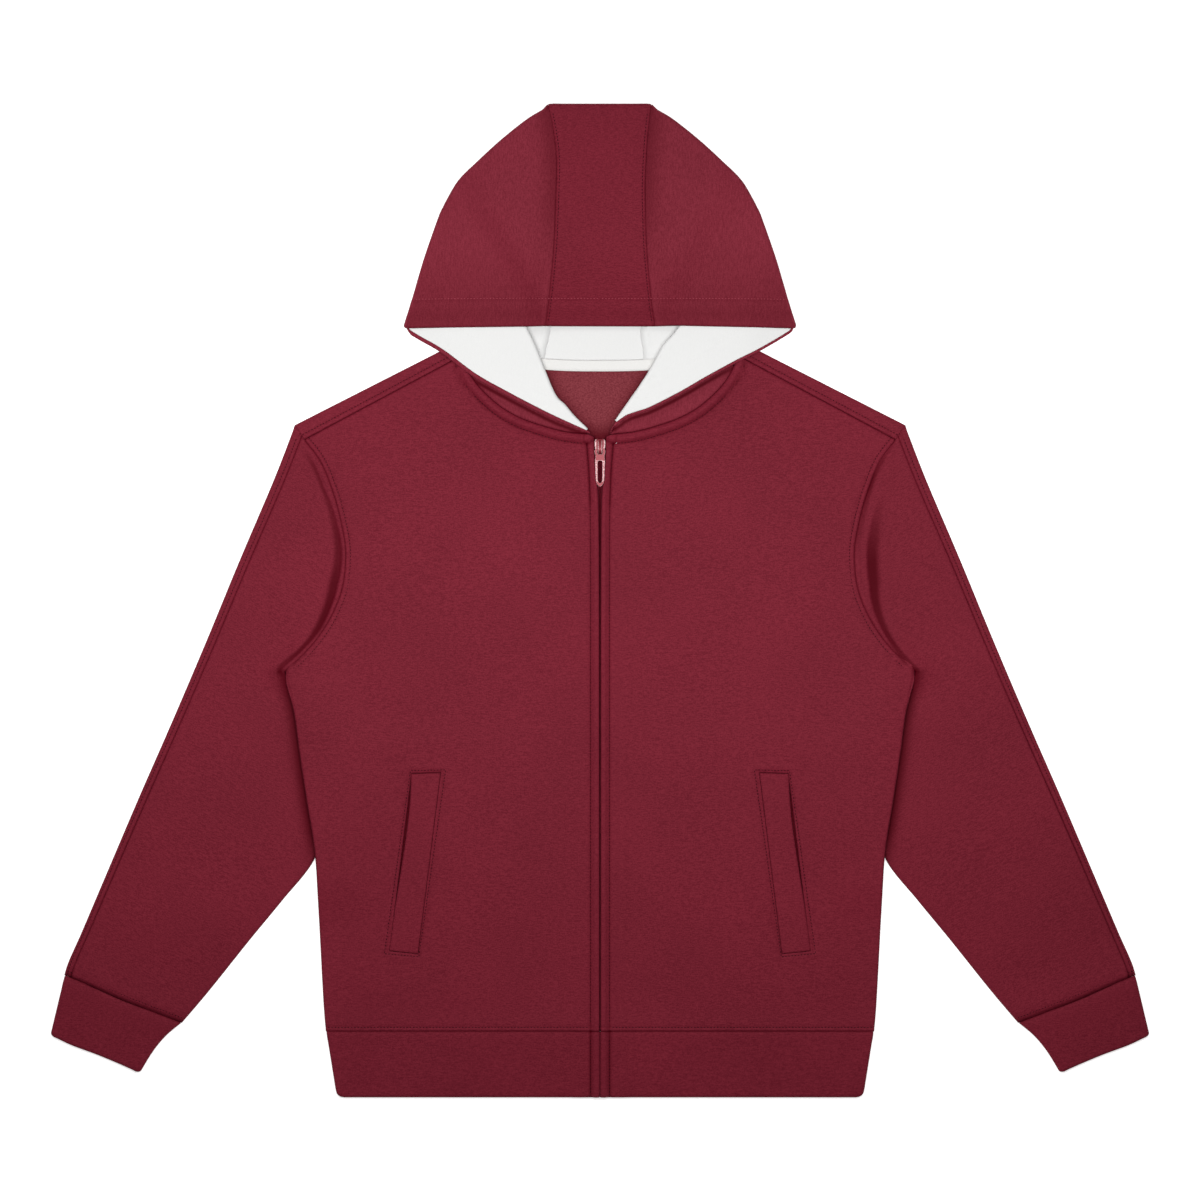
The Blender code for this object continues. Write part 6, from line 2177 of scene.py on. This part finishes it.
@dataclass
class Zip:
    """Tapes, coil, slider with bail, box and pull tab."""

    finishes: Finishes
    # The coil's pitch, its wire's radius, and half the size of a loop along X, Y and Z.
    pitch: float = 1.5
    wire: float = 0.27
    loop_start: float = 0.35
    loop_half: tuple[float, float, float] = (1.1, 0.35, 0.72)
    box_y: Pair = (-469.0, -459.0)
    slider_y: Pair = (138.8, 153.2)
    slider_z: Pair = (1.7, 5.3)
    tab_axis: tuple[float, float, float] = (0.0, 144.0, 6.85)
    tab_thick: float = 1.4
    tab_bevel: float = 0.3
    # The tab's two limbs beside its slot, whose flat faces carry a painted highlight too, and how
    # strong it is.
    limb_ys: Pair = (112.0, 133.0)
    limb_highlight: float = 0.66

    def under(self, y: Array) -> Array:
        """Top of the cloth under the zip, which steps down from the hem band to the back."""
        return np.interp(y, [HEM_SEAM_Y, HEM_SEAM_Y + 20.0], [BAND, FLEECE]) + SEAM_GAP

    def tape(self, side: Side) -> None:
        """One tape: a woven strip beside the coil, with a cord ridge along its inner edge.

        Args:
            side: the side it is on.
        """
        low, high = self.box_y[1] + SEAM_GAP, FRONT_TOP_Y - 2.0
        ys = low + (high - low) * graded(high - low, 6.0)
        inner = np.where(ys > self.slider_y[0] - 2.0, 5.65, 2.9)
        across = even(6)
        xs = inner[:, None] + (TAPE_HALF - inner)[:, None] * across
        grid = raised(np.dstack([xs, np.broadcast_to(ys[:, None], xs.shape)]),
                      (self.under(ys) + TAPE / 2)[:, None])
        cloth("zip_tape_" + side.value, [Patch(grid)], [self.finishes.zip_tape],
              thick=TAPE, side=side)

    def coil(self, side: Side) -> None:
        """Half of the coil: flattened loops, each an arch of round wire across the chain.

        Args:
            side: the side it is on.
        """
        low, high = self.box_y[1] + SEAM_GAP, self.slider_y[0] - SEAM_GAP
        count = int((high - low) / self.pitch)
        shift = 0.0 if side is Side.RIGHT else 0.5
        centres = low + (np.arange(count) + 0.3 + shift * 0.9) * self.pitch
        turn = np.linspace(0.0, math.tau, 9)[:-1]
        wide, deep, high_half = self.loop_half
        loop = np.stack([self.loop_start + wide * (1 - np.cos(turn)), deep * np.sin(turn),
                         1.0 - high_half * np.cos(turn + 0.5 * math.pi)], axis=1)
        around = np.arange(4) * math.tau / 4
        radial = loop - loop.mean(axis=0)
        radial /= np.linalg.norm(radial, axis=1)[:, None]
        ring = (loop[:, None] + self.wire * np.cos(around)[None, :, None] * radial[:, None]
                + self.wire * np.sin(around)[None, :, None] * np.array([0.0, 1.0, 0.0]))
        verts = ring.reshape(-1, 3)
        index = np.arange(len(verts)).reshape(len(turn), 4)
        after, beyond = np.roll(index, -1, axis=0), np.roll(index, -1, axis=1)
        corner = np.roll(after, -1, axis=1)
        faces = np.stack([index, after, corner, beyond], axis=-1).reshape(-1, 4)
        base = np.stack([0.0 * centres, centres, self.under(centres)], axis=1)
        points = (verts[None] + base[:, None]).reshape(-1, 3)
        points[:, 0] *= side.sign
        cells = (faces[None] + np.arange(count)[:, None, None] * len(verts)).reshape(-1, 4)
        if side is Side.LEFT:
            cells = cells[:, ::-1]
        mesh = bpy.data.meshes.new("zip_coil_" + side.value)
        fill_mesh(mesh, points * MM, cells)
        mesh.shade_smooth()
        add_piece("zip_coil_" + side.value, mesh, [self.finishes.coil],
                  "zip_chain_" + side.value)

    def slider(self) -> None:
        """The slider's body: rounded sections along Y, wide at its shoulders."""
        low, high = self.slider_y
        stations = ((low, 3.6, 1.2), (low + 0.5, 4.2, 1.65), (low + 3.0, 4.5, 1.8),
                    (low + 5.6, 5.0, 1.8), (low + 7.8, 5.35, 1.8), (high - 2.4, 5.35, 1.8),
                    (high - 1.0, 4.9, 1.7), (high - 0.3, 4.1, 1.5), (high, 3.2, 1.1))
        middle = sum(self.slider_z) / 2
        mesh = sections_mesh("slider_body", stations, middle, 20)
        add_piece("slider_body", mesh, [self.finishes.zinc], "zip_slider")
        path = smooth(((139.8, 5.45), (139.9, 7.1), (141.4, 8.35), (144.0, 8.75), (147.0, 8.4),
                       (149.8, 7.7), (151.2, 6.6), (151.4, 5.45)), 40)
        normal = normals_of(path)
        ring, edge = rounded_ring(1.95, 0.55, 16)
        rings = (np.stack([np.zeros_like(path[:, 0]), path[:, 0], path[:, 1]], axis=1)[:, None]
                 + ring[None, :, :1] * np.array([1.0, 0.0, 0.0])
                 + ring[None, :, 1:] * np.column_stack([np.zeros(len(path)), normal])[:, None])
        mesh = loft_mesh("slider_bail", rings, np.broadcast_to(edge, rings.shape[:2]))
        add_piece("slider_bail", mesh, [self.finishes.zinc], "zip_bail")

    def box(self) -> None:
        """The retainer box at the hem."""
        low, high = self.box_y
        half_width, half_height = 2.6, 0.95
        stations = [(y, half_width * size, half_height * size) for y, size in (
            (low, 0.75), (low + 0.4, 1.0), (high - 0.4, 1.0), (high, 0.75))]
        mesh = sections_mesh("retainer_box", stations, BAND + SEAM_GAP + half_height, 16)
        add_piece("retainer_box", mesh, [self.finishes.zinc], "zip_box")

    def tab(self) -> None:
        """The pull tab: a flat outline with an eye and a long slot, its edges rounded."""
        half = ((0.0, 144.75), (1.6, 144.72), (2.9, 144.45), (4.1, 143.85), (4.9, 142.8),
                (5.1, 141.6), (5.05, 140.4), (4.8, 139.2), (4.4, 138.2), (4.2, 137.2),
                (4.25, 135.8), (4.5, 134.0), (4.6, 132.4), (4.5, 129.0), (4.3, 124.0),
                (4.05, 118.0), (3.8, 113.2), (3.4, 111.4), (2.6, 110.0), (1.6, 108.8),
                (0.7, 108.0), (0.0, 107.8))
        eye = ((0.0, 143.25), (1.2, 143.3), (2.2, 143.1), (2.7, 142.4), (2.8, 141.2),
               (2.7, 139.9), (2.2, 138.9), (1.2, 138.5), (0.0, 138.4))
        slot = ((0.0, 132.5), (1.5, 132.35), (2.2, 131.7), (2.35, 130.6), (2.35, 120.0),
                (2.3, 113.8), (1.7, 112.4), (0.9, 111.5), (0.0, 111.1))
        bevel = self.tab_bevel
        curve = bpy.data.curves.new("tab_outline", "CURVE")
        curve.dimensions = "2D"
        curve.fill_mode = "BOTH"
        curve.extrude = (self.tab_thick / 2 - bevel) * MM
        curve.bevel_depth = bevel * MM
        curve.bevel_resolution = 2
        for points, inset in ((half, -bevel), (eye, bevel), (slot, bevel)):
            loop = np.array(list(points) + [(-x, y) for x, y in reversed(points) if x > 0])
            closed = np.vstack([loop[-1:], loop, loop[:1]])
            loop = loop + inset * normals_of(closed)[1:-1]
            line = curve.splines.new("POLY")
            line.points.add(len(loop) - 1)
            line.use_cyclic_u = True
            for point, (x, y) in zip(line.points, loop * MM):
                point.co = (x, y, 0.0, 1.0)
        holder = bpy.data.objects.new("tab_outline", curve)
        bpy.context.scene.collection.objects.link(holder)
        bpy.context.view_layer.update()
        graph = bpy.context.evaluated_depsgraph_get()
        mesh = bpy.data.meshes.new_from_object(holder.evaluated_get(graph))
        mesh.name = "tab"
        bpy.data.objects.remove(holder)
        points = np.empty(len(mesh.vertices) * 3, np.float32)
        mesh.vertices.foreach_get("co", points)
        points = points.reshape(-1, 3)
        flat = np.abs(points[:, 2]) > (self.tab_thick / 2 - 0.02) * MM
        low, high = self.limb_ys
        limbs = (points[:, 1] > low * MM) & (points[:, 1] < high * MM)
        # Pale rims, bare metal and painted highlight, and a painted highlight on the limbs' flat
        # faces.
        wear_and_highlight = np.where(flat, self.limb_highlight * limbs, 1.0)
        points[:, 2] += self.tab_axis[2] * MM
        mesh.vertices.foreach_set("co", points.ravel())
        with editing(mesh) as work:
            shade = work.verts.layers.float.new("edge")
            for vert, worn_and_lit in zip(work.verts, wear_and_highlight.tolist()):
                vert[shade] = worn_and_lit
            bmesh.ops.remove_doubles(work, verts=work.verts, dist=WELD / 2)
            bmesh.ops.recalc_face_normals(work, faces=work.faces)
        mesh.materials.clear()
        mesh.shade_flat()
        add_piece("tab", mesh, [self.finishes.zinc], "pull_tab", TAB)

    def build(self) -> None:
        """Builds the zip."""
        for side in Side:
            self.tape(side)
            self.coil(side)
        self.slider()
        self.box()
        self.tab()


# ---- studio

@dataclass
class Studio:
    """A pale floor, soft light and a camera straight above."""

    frame_width: float = 1.142857
    camera_height: float = 4.0
    sensor: float = 36.0
    floor_reach: float = 4.0
    floor_z: float = -0.0002

    def floor(self) -> None:
        """A pale light table just under the garment: opal acrylic that glows a little."""
        made, surface, place = new_finish("opal_acrylic_floor", Roughness=0.95,
                                          Emission_Strength=0.6,
                                          Emission_Color=linear("#FFFFFF"))
        tree = made.node_tree
        grain = add_node(tree, "ShaderNodeTexNoise", {"Vector": place, "Scale": 30.0})
        tone = add_node(tree, "ShaderNodeMix",
                        {"Factor": grain, 6: linear("#FBFBFA"), 7: linear("#F8F8F7")}, 2,
                        data_type="RGBA")
        tree.links.new(tone, surface["Base Color"])
        mesh = bpy.data.meshes.new("floor")
        reach, z = self.floor_reach, self.floor_z
        mesh.from_pydata([(-reach, -reach, z), (reach, -reach, z), (reach, reach, z),
                          (-reach, reach, z)], [], [(0, 1, 2, 3)])
        mesh.materials.append(made)
        obj = bpy.data.objects.new("floor", mesh)
        bpy.context.scene.collection.objects.link(obj)

    def light(self, name: str, at: tuple[float, float, float],
              target: tuple[float, float, float], size: Pair,
              power: float) -> None:
        """A rectangular soft light that faces a point.

        Args:
            name: its name.
            at: its place.
            target: the point it faces.
            size: its width and length, in metres.
            power: its power in watts.
        """
        lamp = bpy.data.lights.new(name, "AREA")
        lamp.shape = "RECTANGLE"
        lamp.size, lamp.size_y = size
        lamp.energy = power
        obj = bpy.data.objects.new(name, lamp)
        obj.location = at
        obj.rotation_euler = (Vector(target) - Vector(at)).to_track_quat("-Z", "Y").to_euler()
        bpy.context.scene.collection.objects.link(obj)

    def camera(self) -> None:
        """A long lens straight above: focal length = height times sensor over frame width."""
        lens = bpy.data.cameras.new("camera")
        lens.sensor_width = self.sensor
        lens.lens = self.camera_height * self.sensor / self.frame_width
        lens.clip_end = 20.0
        obj = bpy.data.objects.new("camera", lens)
        obj.location = (0.0, 0.0, self.camera_height)
        bpy.context.scene.collection.objects.link(obj)
        bpy.context.scene.camera = obj

    def build(self) -> None:
        """Sets up the studio."""
        self.floor()
        world = bpy.data.worlds.new("studio")
        world.use_nodes = True
        world.node_tree.nodes["Background"].inputs["Color"].default_value = linear("#FFFFFF")
        world.node_tree.nodes["Background"].inputs["Strength"].default_value = 0.22
        bpy.context.scene.world = world
        bpy.context.scene.view_settings.view_transform = "Standard"
        self.light("key", (0.0, 0.10, 0.95), (0.0, 0.08, 0.0), (1.5, 0.45), 12.5)
        self.light("rim", (-0.7, 0.9, 0.8), (0.0, 0.0, 0.0), (0.8, 0.3), 3.0)
        self.camera()


def main() -> None:
    """Builds the hoodie around the frame, then the studio."""
    logging.basicConfig(level=logging.INFO, format="%(message)s")
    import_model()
    finishes = Finishes()
    threads = Stitches(finishes.thread, "fleece")
    white_threads = Stitches(finishes.white_thread, "hood_lining", radius=0.2)
    Body(finishes, threads, white_threads).build()
    WeltPockets(finishes).build()
    Sleeves(finishes, threads).build()
    brim_threads = Stitches(finishes.brim_thread, "fleece", radius=0.4)
    Hood(finishes, threads, white_threads, brim_threads).build()
    Zip(finishes).build()
    threads.finish_piece("topstitching")
    white_threads.finish_piece("white_stitching")
    brim_threads.finish_piece("brim_stitching")
    Studio().build()
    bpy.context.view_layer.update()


if __name__ == "__main__":
    main()
